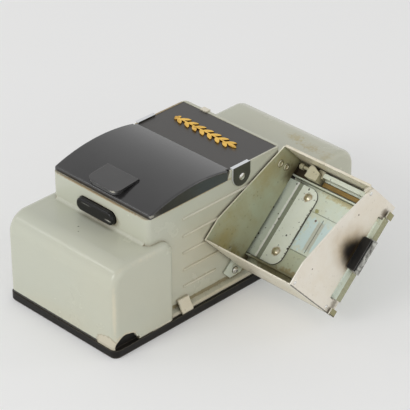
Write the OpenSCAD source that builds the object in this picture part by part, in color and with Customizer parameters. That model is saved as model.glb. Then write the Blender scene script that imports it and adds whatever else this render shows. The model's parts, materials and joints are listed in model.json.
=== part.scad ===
// Stack-fed table viewer for mounted slides: cream case, black lid, tilted metal hopper.
// X runs to the hopper side, Y to the rear, Z up. The origin is the centre of the foot
// plate's underside. Sizes are in millimetres.

/* [Case] */
// Width of the black foot plate
case_w = 86; // [84:0.5:88]
// Length of the black foot plate
case_l = 189; // [187:1:191]
// Height of the foot plate
plate_h = 5.2; // [4.6:0.2:5.6]
// How far the cream moulding stands back from the foot plate's edge
shell_step = 0.5; // [0.3:0.1:0.9]
// Height of the two end boxes above the table
box_h = 55; // [54.6:0.2:56]
// Rounding of an end box's long top edge
box_round = 12; // [9:1:14]
// Rounding of the end boxes' other edges
edge_round = 4; // [3:0.5:5]
// Wall thickness of the moulding
wall = 2.2; // [1.8:0.1:2.3]
// Length of the front box ahead of the tower
front_shelf = 30.5; // [28:0.5:32]
// How far the front box's sides reach back past the tower's corner
wrap = 14.5; // [12:0.5:15]
// Rounding of the box side's rear top corner
wrap_round = 7; // [6:0.5:9]

/* [Tower] */
// How far the tower's sides stand in from the foot plate's edge
tower_in = 5.6; // [5.3:0.1:6]
// Length of the tower from front to rear
tower_l = 101; // [100:0.5:103]
// Height of the tower's rear rim above the end boxes
tower_rise = 21; // [20.8:0.1:21.4]
// Height above the end boxes of the wall that the front lid rests on
seat_rise = 16.1; // [15.8:0.1:16.4]
// Rounding of the tower's upright edges
tower_round = 3; // [2:0.5:4]
// Width of the rim beside the rear cover
rim_w = 1.1; // [0.9:0.1:1.2]
// Height of one slim rib above the wall
rib_proud = 0.7; // [0.4:0.1:0.8]
// Distance between two ribs
rib_pitch = 10.7; // [10:0.1:11.2]

/* [Lid] */
// Height of the lid's top above its seat at the front edge
lid_front_rise = 2.2; // [2:0.1:2.6]
// Height of the lid's top above the rear rim at its rear edge
lid_rear_rise = 1; // [0.9:0.1:1.4]
// How far the lid's arch rises above the straight line between its ends
lid_rise = 4; // [3.6:0.1:4.4]
// Thickness of the lid's top
lid_skin = 2.2; // [1.8:0.1:2.4]
// Rounding of the lid's edges
lid_round = 1; // [0.8:0.1:1.3]
// Width of the finger tab
tab_w = 24; // [18:1:30]
// Length of the finger tab
tab_l = 17.8; // [16:0.2:19]

/* [Hinge] */
// Distance of the pivot behind the lid's rear edge
pivot_back = 10.6; // [10.4:0.1:10.8]
// Height of the pivot below the rear rim
pivot_drop = 6.6; // [6.4:0.1:6.8]
// Radius of the pivot pin
pin_r = 1.5; // [1.2:0.1:1.8]
// Width of a chrome ear
ear_w = 13.3; // [12:0.1:13.6]

/* [Button] */
// Length of the oblong button
button_l = 29; // [24:1:32]
// Half the height of the oblong button
button_r = 3.9; // [3.1:0.1:4.2]
// How far the button's middle is from the middle of the case
button_x = -1.6; // [-3:0.2:3]
// Rounding of the button's front edge
button_edge = 1.3; // [0.8:0.1:1.8]
// How far the button stands out of the wall
button_proud = 2.8; // [2.4:0.1:3.2]
// Height of the button's middle above the front box
button_up = 6.4; // [5.4:0.2:7.2]
// How far the button can be pressed
button_travel = 2; // [1:0.2:2]

/* [Hopper] */
// Tilt of the hopper's floor from level, in degrees
tilt = 43; // [42.5:0.1:43.5]
// Width of the hopper across its two end plates
hopper_w = 63.1; // [62.5:0.1:64]
// Length of the hopper's floor, uphill
hopper_l = 68.8; // [68.4:0.1:69.4]
// Depth of the hopper's end plates at the low end
hopper_d = 44; // [43.6:0.1:44.4]
// How far the sloping part of the rim drops
rim_drop = 17.8; // [16.8:0.2:18.4]
// Thickness of the sheet metal
sheet = 0.8; // [0.6:0.1:0.9]
// Width of the mounts' channel
channel_w = 50.4; // [50:0.1:50.8]
// How far the changer pulls out
changer_travel = 64; // [56:1:64]

/* [Knob] */
// Length of the pull knob
knob_l = 19.4; // [17:0.2:22]
// Width of the pull knob, outward from the hopper
knob_w = 5.5; // [4.9:0.1:6.2]
// Height of the pull knob
knob_h = 5.8; // [5.6:0.1:6.4]

/* [Optics] */
// Width of the magnifier lens
lens_w = 52; // [44:1:54]
// Height of the magnifier lens
lens_h = 30; // [26:1:31]
// Thickness of the lens at its middle
lens_t = 6; // [5:0.5:7]
// Radius of the lamp's glass
bulb_r = 6; // [5:0.5:7]

/* [Hidden] */
// Smoothness of round shapes
$fn = 72;
// A hair's breadth, used so that cuts run past a face
eps = 0.01;
// Play of a pin in its hole
fit_gap = 0.05;
// Air between parts that move past each other
air = 0.3;

// Shell outline
shell_w = case_w - 2 * shell_step;
tower_w = case_w - 2 * tower_in;
tower_top = box_h + tower_rise;
lid_seat = box_h + seat_rise;
lid_front_z = lid_seat + lid_front_rise;
lid_rear_z = tower_top + lid_rear_rise;
button_z = box_h + button_up;
switch_depth = 8.8;
switch_wall = 1.2;
y_nose = -case_l / 2 + shell_step;
y_tail = case_l / 2 - shell_step;
tower_y0 = -case_l / 2 + front_shelf;
tower_y1 = tower_y0 + tower_l;
wall_x = tower_w / 2;
inner_x = wall_x - wall;
box_in = shell_w / 2 - wall;
wrap_y0 = tower_y0 + wrap;
bay_y = tower_y1 + 20.2;
wrap_y1 = bay_y - 10;
plate_round = 4.4;
foot_h = 1;
foot_step = 0.7;
rim_t = 2;
rim_gap = 0.3;
rim_h = 7.4;
cove_r = 2;
ledge_out = 2;
ledge_h = 0.7;
ledge_rise = 2.2;
rear_rim = 2.1;
cover_t = 1.7;
cover_sink = 0.2;
cover_top = tower_top - cover_sink;
cover_x = wall_x - rim_w;
cover_gap = 0.1;

// Ribs
rib_r = 0.9;
rib_z0 = 18.4;
rib_count = 5;
rib_y0 = tower_y0 + 26;
rib_y1 = tower_y0 + 75;
rib_short = tower_y0 + 49.5;

// Broken corner
chip_a_y = y_nose + 7.6;
chip_b_y = y_nose + 10.2;
chip_c_y = y_nose + 16.4;
chip_a_r = 6.5;
chip_b_r = 5.9;
chip_c_r = 1.5;
chip_z = plate_h + 1.2;
chip_depth = 4;

// Lid
lid_side = 0.2;
lid_x = wall_x + lid_side;
lid_set = 1.6;
lid_y0 = tower_y0 + lid_set;
lid_y1 = tower_y0 + 59.3;
lid_wall = 2.9;
lid_in_x = lid_x - lid_wall;
lip_l = 2.6;
lip_x = inner_x + 0.3;
lip_gap = 0.1;
lid_run = lid_y1 - lid_y0;
lid_fall = lid_rear_z - lid_front_z;
lid_chord = sqrt(lid_run * lid_run + lid_fall * lid_fall);
lid_arc_r = (lid_chord * lid_chord / 4 + lid_rise * lid_rise) / (2 * lid_rise);
lid_lean = atan2(lid_fall, lid_run);
lid_arc_y = (lid_y0 + lid_y1) / 2 + (lid_arc_r - lid_rise) * sin(lid_lean);
lid_arc_z = (lid_front_z + lid_rear_z) / 2 - (lid_arc_r - lid_rise) * cos(lid_lean);
nose_y = lid_y0 + lid_round;
nose_phi = asin((nose_y - lid_arc_y) / (lid_arc_r - lid_round));
nose_step = 0.02;
nose_lap = 3;
nose_z = floor(100 * (lid_arc_z + (lid_arc_r - lid_round) * cos(nose_phi) - nose_step)) / 100;
tail_phi = asin((lid_y1 - lid_arc_y) / (lid_arc_r - lid_round));

// Finger tab
tab_y0 = lid_y0 - 0.4;
tab_y1 = tab_y0 + tab_l;
tab_t = 1.3;
tab_over = 0.9;
tab_droop = 1.7;
tab_foot_y = lid_y0 + 0.9;
tab_root_z = lid_arc_z + sqrt(lid_arc_r * lid_arc_r - (tab_y1 - lid_arc_y) * (tab_y1 - lid_arc_y));
tab_top_z = floor(100 * tab_root_z + 100) / 100;
tab_round = 5;

// Hinge
pivot_y = lid_y1 + pivot_back;
pivot_z = tower_top - pivot_drop;
sweep_r = sqrt(pivot_back * pivot_back + (pivot_z - lid_seat) * (pivot_z - lid_seat));
step_r = sweep_r - air;
cover_y0 = pivot_y - sqrt(step_r * step_r - pivot_drop * pivot_drop) + eps;
cover_y1 = tower_y1 - rear_rim;
ear_y0 = pivot_y - 6.9;
ear_flange = 2.4;
ear_low = 5.3;
head_r = 2.2;
head_h = 0.9;
arm_x0 = lid_in_x - 2;
arm_x1 = lid_in_x;
arm_r0 = sweep_r + 0.5;
arm_r1 = arm_r0 + 3;
arm_from = 162;
arm_to = 262;
arm_foot_y = lid_y1 - 12;
arm_top = lid_seat + 2.7;
arm_low = lid_seat + 0.4;
arm_boss = 3.6;
arm_half = 1.5;

// Hopper frame: local Y is uphill along the floor, local Z rises to the open mouth
hop_y = tower_y0 + 40.7;
hop_z = tower_top - 34;
hop_x0 = wall_x + rib_proud + air;
hop_x1 = hop_x0 + hopper_w;
in_x0 = hop_x0 + sheet;
in_x1 = hop_x1 - sheet;
rim_flat = 13.5;
rim_end = hopper_l - 0.9;
rim_corner = 1.5;
rim_bend = 31.5;
rim_bend_drop = 10.2;
far_end = hopper_l - 2;
far_drop = rim_drop + 1.8;
far_corner = 2.4;
strip_low = 4.5;
bed_t = 0.9;
bed_top = -hopper_d + 2;
bed_low = bed_top - bed_t;
ch_lo = 8.2;
ch_hi = ch_lo + channel_w;
rail_top = bed_top + 4.5;
slide_t = 1;
slide_top = bed_top + slide_t;
blade_t = 0.8;
blade_rise = 0.8;
rivet_h = 0.8;
rivet_r = 2.2;
slot_top = slide_top + blade_t + blade_rise + 0.5;
pass_top = slot_top + 1.4;
blade_x0 = in_x0 - 13.2;
blade_x1 = in_x0 + 21.3;
joggle_x = in_x0 + 6.1;
joggle_w = 2.2;
blade_round = 6.5;
rivet_x = in_x0 + 15.1;
rivet_half = 17.35;
rivet_mid = ch_lo + channel_w / 2 + 0.6;
slide_x0 = in_x0 + 10.5;
slide_out = 1.8;
slide_x1 = hop_x1 + slide_out + sheet;
slide_lo = ch_lo + air;
slide_hi = ch_hi - air;
flange_drop = 4.7;
groove_w = 0.4;
groove_d = 0.3;
cam_hi = hopper_l - 2;
mount_t = 2;

// Pieces along the upper side of the hopper
block_x0 = in_x0 + 11.2;
block_x1 = block_x0 + 8.2;
block_step = 1.4;
guide_x0 = block_x1 + block_step + 0.4;
guide_x1 = in_x1 - air;
bronze_v0 = ch_hi + 1.4;
bronze_v1 = ch_hi + 4;
guide_v = bronze_v1 + 1.5;
guide_reach = 2.6;
bronze_t = 0.6;
guide_top = bed_top + 8.4;
block_top = bed_top + 10;
top_wall_v = hopper_l - sheet;
pad_t = 0.6;
dimple_r = 1.9;
tab_reach = 2;
tab_run = 3.8;
ear_run = 5.4;
dimple_h = 0.7;

// Knob
knob_x0 = hop_x1 + 0.7;
knob_v0 = 26.1;
knob_top = slide_top + 5.5;
clip_t = 0.6;
clip_h = 4.2;
clip_back = 2.2;

// Inside
gate_x0 = -inner_x;
gate_lo = ch_lo - sheet;
gate_hi = ch_hi + sheet;
frame_win = 36;
win_x = 1;
win_v = (ch_lo + ch_hi) / 2;
diff_w = 44;
diff_t = 2;
diff_z = bed_low - diff_t;
trough_r = 20;
trough_x0 = -11;
trough_x1 = 25;
lamp_z = diff_z - 11;
lamp_x = 3;
lens_y = tower_y0 + 41.5;
lens_z = tower_top - 18;
lens_turn = 50;
lens_lip = 3.5;
frame_t = 3;
frame_x = inner_x - 3.8;
frame_low = 21;
apron_t = 1.5;

cream = [0.78, 0.77, 0.70];
black = [0.07, 0.07, 0.07];
satin = [0.20, 0.20, 0.20];
gold = [0.85, 0.62, 0.22];
chrome = [0.80, 0.80, 0.80];
nickel = [0.74, 0.72, 0.66];
zinc = [0.70, 0.75, 0.71];
brass = [0.75, 0.58, 0.30];
bronze = [0.48, 0.33, 0.12];

// A flat shape given in (Y, Z), drawn out along X from x0 to x1
module along_x(x0, x1) {
    translate([x0, 0, 0])
        rotate([90, 0, 90])
            linear_extrude(height = x1 - x0)
                children();
}

// A flat shape given in (X, Z), drawn out along Y from y0 to y1
module along_y(y0, y1) {
    translate([0, y1, 0])
        rotate([90, 0, 0])
            linear_extrude(height = y1 - y0)
                children();
}

// A block between two corners
module block(a, b) {
    translate(a)
        cube(b - a);
}

// A rounded rectangle about the origin
module round_rect(w, l, r) {
    square([w - 2 * r, l], center = true);
    square([w, l - 2 * r], center = true);
    for (sx = [-1, 1], sy = [-1, 1])
        translate([sx * (w / 2 - r), sy * (l / 2 - r)])
            circle(r);
}

// Puts its children into the hopper's tilted frame
module in_hopper() {
    translate([0, hop_y, hop_z])
        rotate([tilt, 0, 0])
            children();
}

// A rectangle from y = 0 to l whose two corners at y = l are rounded
module soft_end(w, l, r) {
    if (l > r)
        translate([-w / 2, 0])
            square([w, l - r]);
    translate([r - w / 2, 0])
        square([w - 2 * r, l]);
    for (sx = [-1, 1])
        translate([sx * (w / 2 - r), l - r])
            intersection() {
                circle(r);
                translate([-r, 0])
                    square([2 * r, r]);
            }
}

// One end of a box: an upright column and the quarter turn above it
module soft_column(w, h, r, re) {
    translate([0, r, 0])
        rotate([0, 0, 180])
            linear_extrude(height = h - r)
                soft_end(w, r, re);
    translate([0, r, h - r])
        rotate([0, 90, 0])
            rotate_extrude(angle = 90, start = 180)
                rotate(-90)
                    soft_end(w, r, re);
}

// One end box with soft edges, its nose at y = 0 and its foot at z = 0
module soft_box(l, w, h, rn, rt, re) {
    along_y(rn, l - rt)
        soft_end(w, h, re);
    soft_column(w, h, rn, re);
    translate([0, l, 0])
        rotate([0, 0, 180])
            soft_column(w, h, rt, re);
}

// Hollow of one end box, with its top corners rounded to match the outside
module box_hollow(x0, x1, y0, y1, r0, r1) {
    top = box_h - wall;
    along_x(x0, x1) {
        translate([y0, plate_h - 1])
            square([y1 - y0, top - plate_h + 1 - max(r0, r1)]);
        translate([y0 + r0, top - max(r0, r1) - 1])
            square([y1 - y0 - r0 - r1, max(r0, r1) + 1]);
        for (c = [[y0, y0 + r0, r0], [y1 - r1, y1 - r1, r1]])
            intersection() {
                translate([c[1], top - c[2]])
                    circle(c[2]);
                translate([c[0], top - c[2]])
                    square(c[2]);
            }
        translate([r0 > r1 ? y1 - r1 : y0, top - max(r0, r1) - 1])
            square([min(r0, r1), max(r0, r1) + 1 - min(r0, r1)]);
    }
}

module base_plate() {
    color(black) {
        translate([0, 0, foot_h])
            linear_extrude(height = plate_h - foot_h)
                round_rect(case_w, case_l, plate_round);
        linear_extrude(height = foot_h)
            round_rect(case_w - 2 * foot_step, case_l - 2 * foot_step, plate_round - foot_step);
        rim_u(y_nose + wall + rim_gap, wrap_y0 - wall - rim_gap, 0);
        rim_u(bay_y + wall + rim_gap, y_tail - wall - rim_gap, 1);
    }
}

// Upright rim that the moulding drops over, closed at its outer end
module rim_u(y0, y1, back) {
    x = shell_w / 2 - wall - rim_gap;
    z1 = plate_h + rim_h;
    for (sx = [-1, 1])
        block([sx * x - (sx > 0 ? rim_t : 0), y0, plate_h - eps],
            [sx * x + (sx > 0 ? 0 : rim_t), y1, z1]);
    block([-x, back ? y1 - rim_t : y0, plate_h - eps],
        [x, back ? y1 : y0 + rim_t, z1]);
}

// The wall that stands behind and beside the lid: a round step about the pivot
module step_side() {
    translate([tower_y0 - 1, plate_h])
        square([tower_l + 2, lid_seat - plate_h]);
    translate([pivot_y, plate_h])
        square([tower_l, tower_top - plate_h]);
    intersection() {
        translate([pivot_y, pivot_z])
            circle(step_r);
        translate([tower_y0, pivot_z])
            square([tower_l, tower_top - pivot_z]);
    }
}

// Everything solid in the moulding before it is hollowed
module shell_outside() {
    translate([0, y_nose, plate_h])
        soft_box(wrap_y0 - y_nose, shell_w, box_h - plate_h, box_round, wrap_round, edge_round);
    difference() {
        translate([0, y_tail, plate_h])
            rotate([0, 0, 180])
                soft_box(y_tail - wrap_y1, shell_w, box_h - plate_h, box_round, wrap_round,
                    edge_round);
        for (sx = [-1, 1])
            block([sx > 0 ? wall_x : -shell_w, wrap_y1 - 1, plate_h - 1],
                [sx > 0 ? shell_w : -wall_x, bay_y, box_h + 1]);
    }
    intersection() {
        translate([0, (tower_y0 + tower_y1) / 2, plate_h])
            linear_extrude(height = tower_top - plate_h)
                round_rect(tower_w, tower_l, tower_round);
        along_x(-tower_w, tower_w)
            step_side();
    }
    ledge(1, wrap_y0 - edge_round, bay_y + edge_round);
    ledge(-1, wrap_y0 - edge_round, bay_y + edge_round);
    cove(tower_y0, -1);
    cove(tower_y1, 1);
    side_ribs(1);
    side_ribs(-1);
}

// Thin flared ledge where the tower's side meets the foot plate
module ledge(sx, y0, y1) {
    along_y(y0, y1)
        polygon([[sx * inner_x, plate_h], [sx * (case_w / 2 - ledge_out), plate_h],
            [sx * (case_w / 2 - ledge_out), plate_h + ledge_h],
            [sx * wall_x, plate_h + ledge_rise], [sx * inner_x, plate_h + ledge_rise]]);
}

// Hollow rounding where the tower rises out of a box's top
module cove(y, way) {
    difference() {
        block([-wall_x + tower_round, way > 0 ? y - 1 : y - cove_r, box_h - 1],
            [wall_x - tower_round, way > 0 ? y + cove_r : y + 1, box_h + cove_r]);
        translate([0, y + way * cove_r, box_h + cove_r])
            rotate([0, 90, 0])
                cylinder(r = cove_r, h = tower_w, center = true);
    }
}

// Slim level ribs with rounded ends
module side_ribs(sx) {
    for (i = [0 : rib_count - 1])
        translate([sx * (wall_x + rib_proud - rib_r), 0, rib_z0 + i * rib_pitch]) {
            y1 = i == 0 ? rib_short : rib_y1;
            translate([0, rib_y0, 0])
                rotate([-90, 0, 0])
                    cylinder(r = rib_r, h = y1 - rib_y0);
            for (y = [rib_y0, y1])
                translate([0, y, 0])
                    sphere(rib_r);
        }
}

// Oblong outline lying along X, given its full length and half height
module oblong(l, r) {
    square([l - 2 * r, 2 * r], center = true);
    for (sx = [-1, 1])
        translate([sx * (l / 2 - r), 0])
            circle(r);
}

// The piece missing from the lower front corner
module chip() {
    for (c = [[chip_a_y, chip_a_r], [chip_b_y, chip_b_r], [chip_c_y, chip_c_r]])
        translate([shell_w / 2 - chip_depth, c[0], chip_z])
            rotate([0, 90, 0])
                cylinder(r = c[1], h = chip_depth + 1);
}

module body_shell() {
    color(cream)
        difference() {
            shell_outside();
            box_hollow(-box_in, box_in, y_nose + wall, wrap_y0 - wall, box_round - wall,
                wrap_round - wall);
            box_hollow(-inner_x, inner_x, tower_y1 - wall - 1, y_tail - wall, 1, box_round - wall);
            box_hollow(-box_in, box_in, bay_y + wall, y_tail - wall, 1, box_round - wall);
            block([-inner_x, tower_y0 + wall, plate_h - 1],
                [inner_x, tower_y1 - wall, tower_top - cover_sink - cover_t - wall]);
            block([-inner_x, tower_y0 + wall, lid_seat - wall - 3],
                [inner_x, cover_y1 - rim_w, tower_top + 1]);
            block([-cover_x - cover_gap, tower_y0 + wall, cover_top - cover_t],
                [cover_x + cover_gap, cover_y1 + cover_gap, tower_top + 1]);
            translate([button_x, tower_y0 + wall + 1, button_z])
                rotate([90, 0, 0])
                    linear_extrude(height = wall + 2)
                        oblong(button_l + 2 * air, button_r + air);
            in_hopper() {
                block([inner_x - 1, gate_lo - air, bed_low - air],
                    [wall_x + rib_proud + 1, slide_hi - 1, slot_top]);
                block([-inner_x, gate_lo - air, bed_low - air],
                    [wall_x + rib_proud + 1, gate_hi + air, bed_top + mount_t + air]);
                block([-wall_x - rib_proud - 1, ch_lo, slide_top],
                    [-inner_x + 1, slide_hi, bed_top + mount_t + air]);
                translate([inner_x - 1, screw_v, screw_z])
                    rotate([0, 90, 0])
                        cylinder(r = screw_r + fit_gap, h = wall + 2);
            }
            for (sx = [-1, 1])
                translate([sx * (inner_x - 1), pivot_y, pivot_z])
                    rotate([0, sx * 90, 0])
                        cylinder(r = pin_r + fit_gap, h = wall + 2);
            chip();
        }
}

module rear_cover() {
    color(satin)
        block([-cover_x, cover_y0, cover_top - cover_t], [cover_x, cover_y1, cover_top]);
}

// A pointed leaf from the origin along +X
module leaf(l, w) {
    r = (l * l + w * w) / (4 * w);
    translate([l / 2, 0])
        intersection() {
            translate([0, r - w / 2])
                circle(r);
            translate([0, w / 2 - r])
                circle(r);
        }
}

// Gold sprig of leaves on the rear cover
module gold_sprig() {
    sprig_l = 50;
    stem_w = 0.9;
    leaf_l = 6.8;
    leaf_w = 2.5;
    pairs = 7;
    lean = 32;
    color(gold)
        translate([-1.7, (cover_y0 + cover_y1) / 2 + 1.5, cover_top])
            rotate([0, 0, -1.7])
                linear_extrude(height = 0.9) {
                    square([sprig_l - 6, stem_w], center = true);
                    for (i = [0 : pairs - 1], s = [-1, 1])
                        translate([-sprig_l / 2 + 2.6 + i * 6.1 + (s > 0 ? 1.4 : 0), 0])
                            rotate(s * lean)
                                leaf(leaf_l, leaf_w);
                    translate([sprig_l / 2 - 7.4, 0])
                        leaf(leaf_l, leaf_w);
                    for (s = [-1, 0, 1])
                        translate([-sprig_l / 2 + 2.2 - (s == 0 ? 0.9 : 0), s * 1.3])
                            circle(1.05);
                }
}

// The lid's outside: an arched slab with soft edges over an upright front skirt
module lid_outside() {
    across = 2 * lid_x;
    intersection() {
        translate([0, lid_arc_y, lid_arc_z])
            rotate([0, -90, 0])
                rotate_extrude(angle = tail_phi + 3 - nose_phi, start = nose_phi, $fn = 180)
                    rotate(-90)
                        soft_end(across, lid_arc_r, lid_round);
        block([-lid_x - 1, lid_y0, lid_seat], [lid_x + 1, lid_y1 + lip_l, lid_rear_z + 3]);
    }
    translate([0, nose_y + 1, lid_seat])
        rotate([0, 0, 180])
            linear_extrude(height = nose_z - lid_seat)
                soft_end(across, lid_round + 1, lid_round);
    translate([0, nose_y, nose_z])
        rotate([0, -90, 0])
            rotate_extrude(angle = nose_phi + 90 + nose_lap, start = -90)
                rotate(-90)
                    soft_end(across, lid_round, lid_round);
}

module front_lid() {
    lip_z = cover_top + lip_gap;
    color(black)
        difference() {
            lid_outside();
            block([-lid_x - 1, lid_y1, lid_seat - 1], [lid_x + 1, lid_y1 + lip_l + 1, lip_z]);
            for (sx = [-1, 1])
                block([min(sx * lip_x, sx * (lid_x + 1)), lid_y1, lip_z - 1],
                    [max(sx * lip_x, sx * (lid_x + 1)), lid_y1 + lip_l + 1, lid_rear_z + 3]);
            along_x(-lid_in_x, lid_in_x)
                intersection() {
                    translate([lid_arc_y, lid_arc_z])
                        circle(lid_arc_r - lid_skin, $fn = 180);
                    translate([lid_y0 + lid_wall, lid_seat - 1])
                        square([lid_run - lid_wall - 1.6, 20]);
                }
            block([-lid_in_x, lid_y1 - 5, lid_seat - 1], [lid_in_x, lid_y1 + 1, arm_top + 0.5]);
        }
}

// Side view of the finger tab's plate, which droops towards the front
module tab_plate() {
    front = tab_top_z - tab_droop;
    polygon([[tab_y1, tab_root_z - 0.2], [tab_y1 - 1.3, tab_top_z], [tab_y0 + 0.5, front],
        [tab_y0, front - 0.4], [tab_y0, front - tab_t + 0.2], [tab_y0 + 0.3, front - tab_t],
        [tab_y1 - 1, tab_top_z - tab_t]]);
}

// Side view of the block under the tab's plate, with a hollowed front
module tab_block() {
    top = tab_top_z - tab_t + 0.5;
    front = top - tab_droop;
    polygon([[tab_y1 - 2, top], [tab_y0 + 2.4, front], [tab_y0 + 2.2, front - 0.9],
        [tab_y0 + 1.9, front - 1.6], [tab_foot_y, lid_front_z + 0.5],
        [tab_foot_y, lid_front_z - 1], [tab_y1 - 2, lid_front_z - 1]]);
}

module lid_tab() {
    foot_l = tab_y1 - tab_foot_y;
    low = lid_front_z - 2;
    color(black)
        difference() {
            union() {
                intersection() {
                    along_x(-tab_w / 2, tab_w / 2)
                        tab_plate();
                    translate([0, tab_y0 + tab_l / 2 + 3, low])
                        linear_extrude(height = tab_top_z + 1 - low)
                            round_rect(tab_w, tab_l + 6, tab_round);
                }
                intersection() {
                    along_x(-tab_w / 2, tab_w / 2)
                        tab_block();
                    translate([0, tab_foot_y + foot_l / 2 + 3, low])
                        linear_extrude(height = tab_top_z + 1 - low)
                            round_rect(tab_w - 2 * tab_over, foot_l + 6, tab_round - tab_over);
                }
            }
            translate([0, lid_arc_y, lid_arc_z])
                rotate([0, 90, 0])
                    cylinder(r = lid_arc_r, h = tab_w + 4, center = true, $fn = 180);
        }
}

// Side view of one goose-neck arm
module arm_side() {
    difference() {
        union() {
            translate([pivot_y, pivot_z]) {
                intersection() {
                    difference() {
                        circle(arm_r1);
                        circle(arm_r0);
                    }
                    polygon([[0, 0], [30 * cos(arm_from), 30 * sin(arm_from)],
                        [-30, -6], [-30, -30], [30 * cos(arm_to), 30 * sin(arm_to)]]);
                }
                rotate(arm_to)
                    translate([0, -arm_half])
                        square([arm_r1 - 0.4, 2 * arm_half]);
                circle(arm_boss);
            }
            translate([arm_foot_y, arm_low])
                square([pivot_y - arm_r0 - 0.5 - arm_foot_y, arm_top - arm_low]);
        }
        translate([pivot_y, pivot_z])
            circle(pin_r + fit_gap);
    }
}

module lid_arms() {
    color(zinc) {
        along_x(arm_x0, arm_x1)
            arm_side();
        along_x(-arm_x1, -arm_x0)
            arm_side();
    }
}

// Chrome angle on one side: a round-ended plate with a narrow top flange
module hinge_ear(sx) {
    r = ear_w / 2;
    x1 = wall_x + sheet;
    top = tower_top + sheet;
    mirror([sx < 0 ? 1 : 0, 0, 0])
        difference() {
            union() {
                along_x(wall_x, x1) {
                    translate([ear_y0, pivot_z])
                        square([ear_w, top - pivot_z]);
                    intersection() {
                        translate([ear_y0 + r, pivot_z + r - ear_low])
                            circle(r);
                        translate([ear_y0, pivot_z - 2 * r])
                            square([ear_w, 2 * r + eps]);
                    }
                    translate([ear_y0, pivot_z + r - ear_low])
                        square([ear_w, 2]);
                }
                block([x1 - ear_flange, ear_y0, tower_top], [x1, ear_y0 + ear_w - 0.4, top]);
            }
            translate([wall_x - 1, pivot_y, pivot_z])
                rotate([0, 90, 0])
                    cylinder(r = pin_r + fit_gap, h = 4);
        }
}

module hinge_ears() {
    color(chrome)
        for (sx = [-1, 1])
            hinge_ear(sx);
}

// A low round head standing on the plane z = 0
module dome(r, h) {
    ball = (r * r + h * h) / (2 * h);
    intersection() {
        translate([0, 0, h - ball])
            sphere(ball);
        cylinder(r = r, h = h);
    }
}

module hinge_rivets() {
    color(chrome)
        for (sx = [-1, 1])
            mirror([sx < 0 ? 1 : 0, 0, 0])
                translate([0, pivot_y, pivot_z])
                    rotate([0, 90, 0]) {
                        translate([0, 0, wall_x + sheet])
                            dome(head_r, head_h);
                        translate([0, 0, arm_x0 - 0.6])
                            cylinder(r = pin_r, h = wall_x + sheet - arm_x0 + 0.6);
                        translate([0, 0, arm_x0 - 0.6])
                            cylinder(r = head_r, h = 0.5);
                    }
}

// Half of the button's section: a flat face with a rounded edge, and a straight shank
module button_half() {
    e = button_edge;
    translate([0, -wall - 0.5])
        square([button_r, wall + 0.5 + button_proud - e]);
    translate([0, -wall - 0.5])
        square([button_r - e, wall + 0.5 + button_proud]);
    translate([button_r - e, button_proud - e])
        intersection() {
            circle(e);
            square(e);
        }
}

module switch_button() {
    back_y = tower_y0 + wall;
    half = button_l / 2 - button_r;
    color(black)
        translate([button_x, 0, button_z]) {
            translate([0, tower_y0, 0])
                rotate([90, 0, 0]) {
                    for (a = [90, 270])
                        translate([a == 90 ? -half : half, 0, 0])
                            rotate_extrude(angle = 180, start = a)
                                button_half();
                    rotate([90, 0, 90])
                        linear_extrude(height = 2 * half, center = true) {
                            button_half();
                            mirror([1, 0])
                                button_half();
                        }
                }
            block([-button_l / 2, back_y, -button_r - 1], [button_l / 2, back_y + 1, button_r + 1]);
            translate([0, back_y + 3, 0])
                rotate([90, 0, 0])
                    cylinder(r = 1.6, h = 2);
        }
}

module switch_housing() {
    y0 = tower_y0 + wall;
    y1 = y0 + switch_depth;
    x = button_l / 2 + 2.7;
    z = button_r + 2.8;
    t = switch_wall;
    color(black)
        translate([button_x, 0, button_z])
            difference() {
                block([-x, y0, -z], [x, y1, z]);
                block([-x + t, y0 - 1, -z + t], [x - t, y1 - t, z - t]);
            }
}

module switch_blades() {
    y1 = tower_y0 + wall + switch_depth - switch_wall;
    color(brass)
        translate([button_x, 0, button_z]) {
            block([-3, y1 - 2.3, -5.3], [3, y1 - 1.9, 4]);
            block([-3, y1 - 2.3, -5.3], [3, y1, -4.9]);
            block([5, y1 - 0.4, -5.3], [9, y1, 5]);
            block([-12, y1 - 0.4, -5.3], [-8, y1, 5]);
        }
}

// Lug and screw that hold the hopper's foot to the tower
screw_v = -3.2;
screw_z = -hopper_d + 5.6;
screw_r = 1.2;

module side_bracket() {
    color(zinc)
        in_hopper()
            difference() {
                along_x(wall_x + fit_gap, hop_x0)
                    polygon([[-8.5, -31], [2, -31], [2, -43.4], [-2.2, -43.4], [-8.5, -38]]);
                translate([wall_x - 1, screw_v, screw_z])
                    rotate([0, 90, 0])
                        cylinder(r = screw_r + fit_gap, h = 4);
            }
}

module bracket_screw() {
    color(chrome)
        in_hopper()
            translate([hop_x0, screw_v, screw_z])
                rotate([0, 90, 0])
                    difference() {
                        union() {
                            cylinder(r = 2.1, h = 0.5);
                            translate([0, 0, 0.5])
                                dome(2.1, 0.8);
                            translate([0, 0, inner_x - hop_x0 - 0.5])
                                cylinder(r = screw_r, h = hop_x0 - inner_x + 0.6);
                        }
                        rotate([0, 0, 35])
                            translate([-3, -0.25, 0.7])
                                cube([6, 0.5, 2]);
                    }
}

// Bent nickel tongues that hold the moulding down on the foot plate
module base_catches() {
    x = case_w / 2;
    z = plate_h;
    color(nickel)
        for (y = [wrap_y0 + 9.5, bay_y - 9.5], sx = [-1, 1])
            mirror([sx < 0 ? 1 : 0, 0, 0])
                along_y(y - 4, y + 4)
                    polygon([[x - 1.5, z], [x - 0.5, z], [x - 0.5, z + 1], [wall_x + 1.5, z + 7.2],
                        [wall_x + 0.05, z + 7.2], [wall_x + 0.05, z + 6.2], [wall_x + 0.95, z + 6.2]]);
}

// Small clip behind the rear cover's far end
module rear_catch() {
    x = -22.8;
    w = 5;
    color(nickel) {
        block([x, tower_y1, tower_top - 9], [x + w, tower_y1 + sheet, tower_top + sheet]);
        block([x, cover_y1 - 0.6, tower_top], [x + w, tower_y1 + eps, tower_top + sheet]);
    }
}

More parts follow.
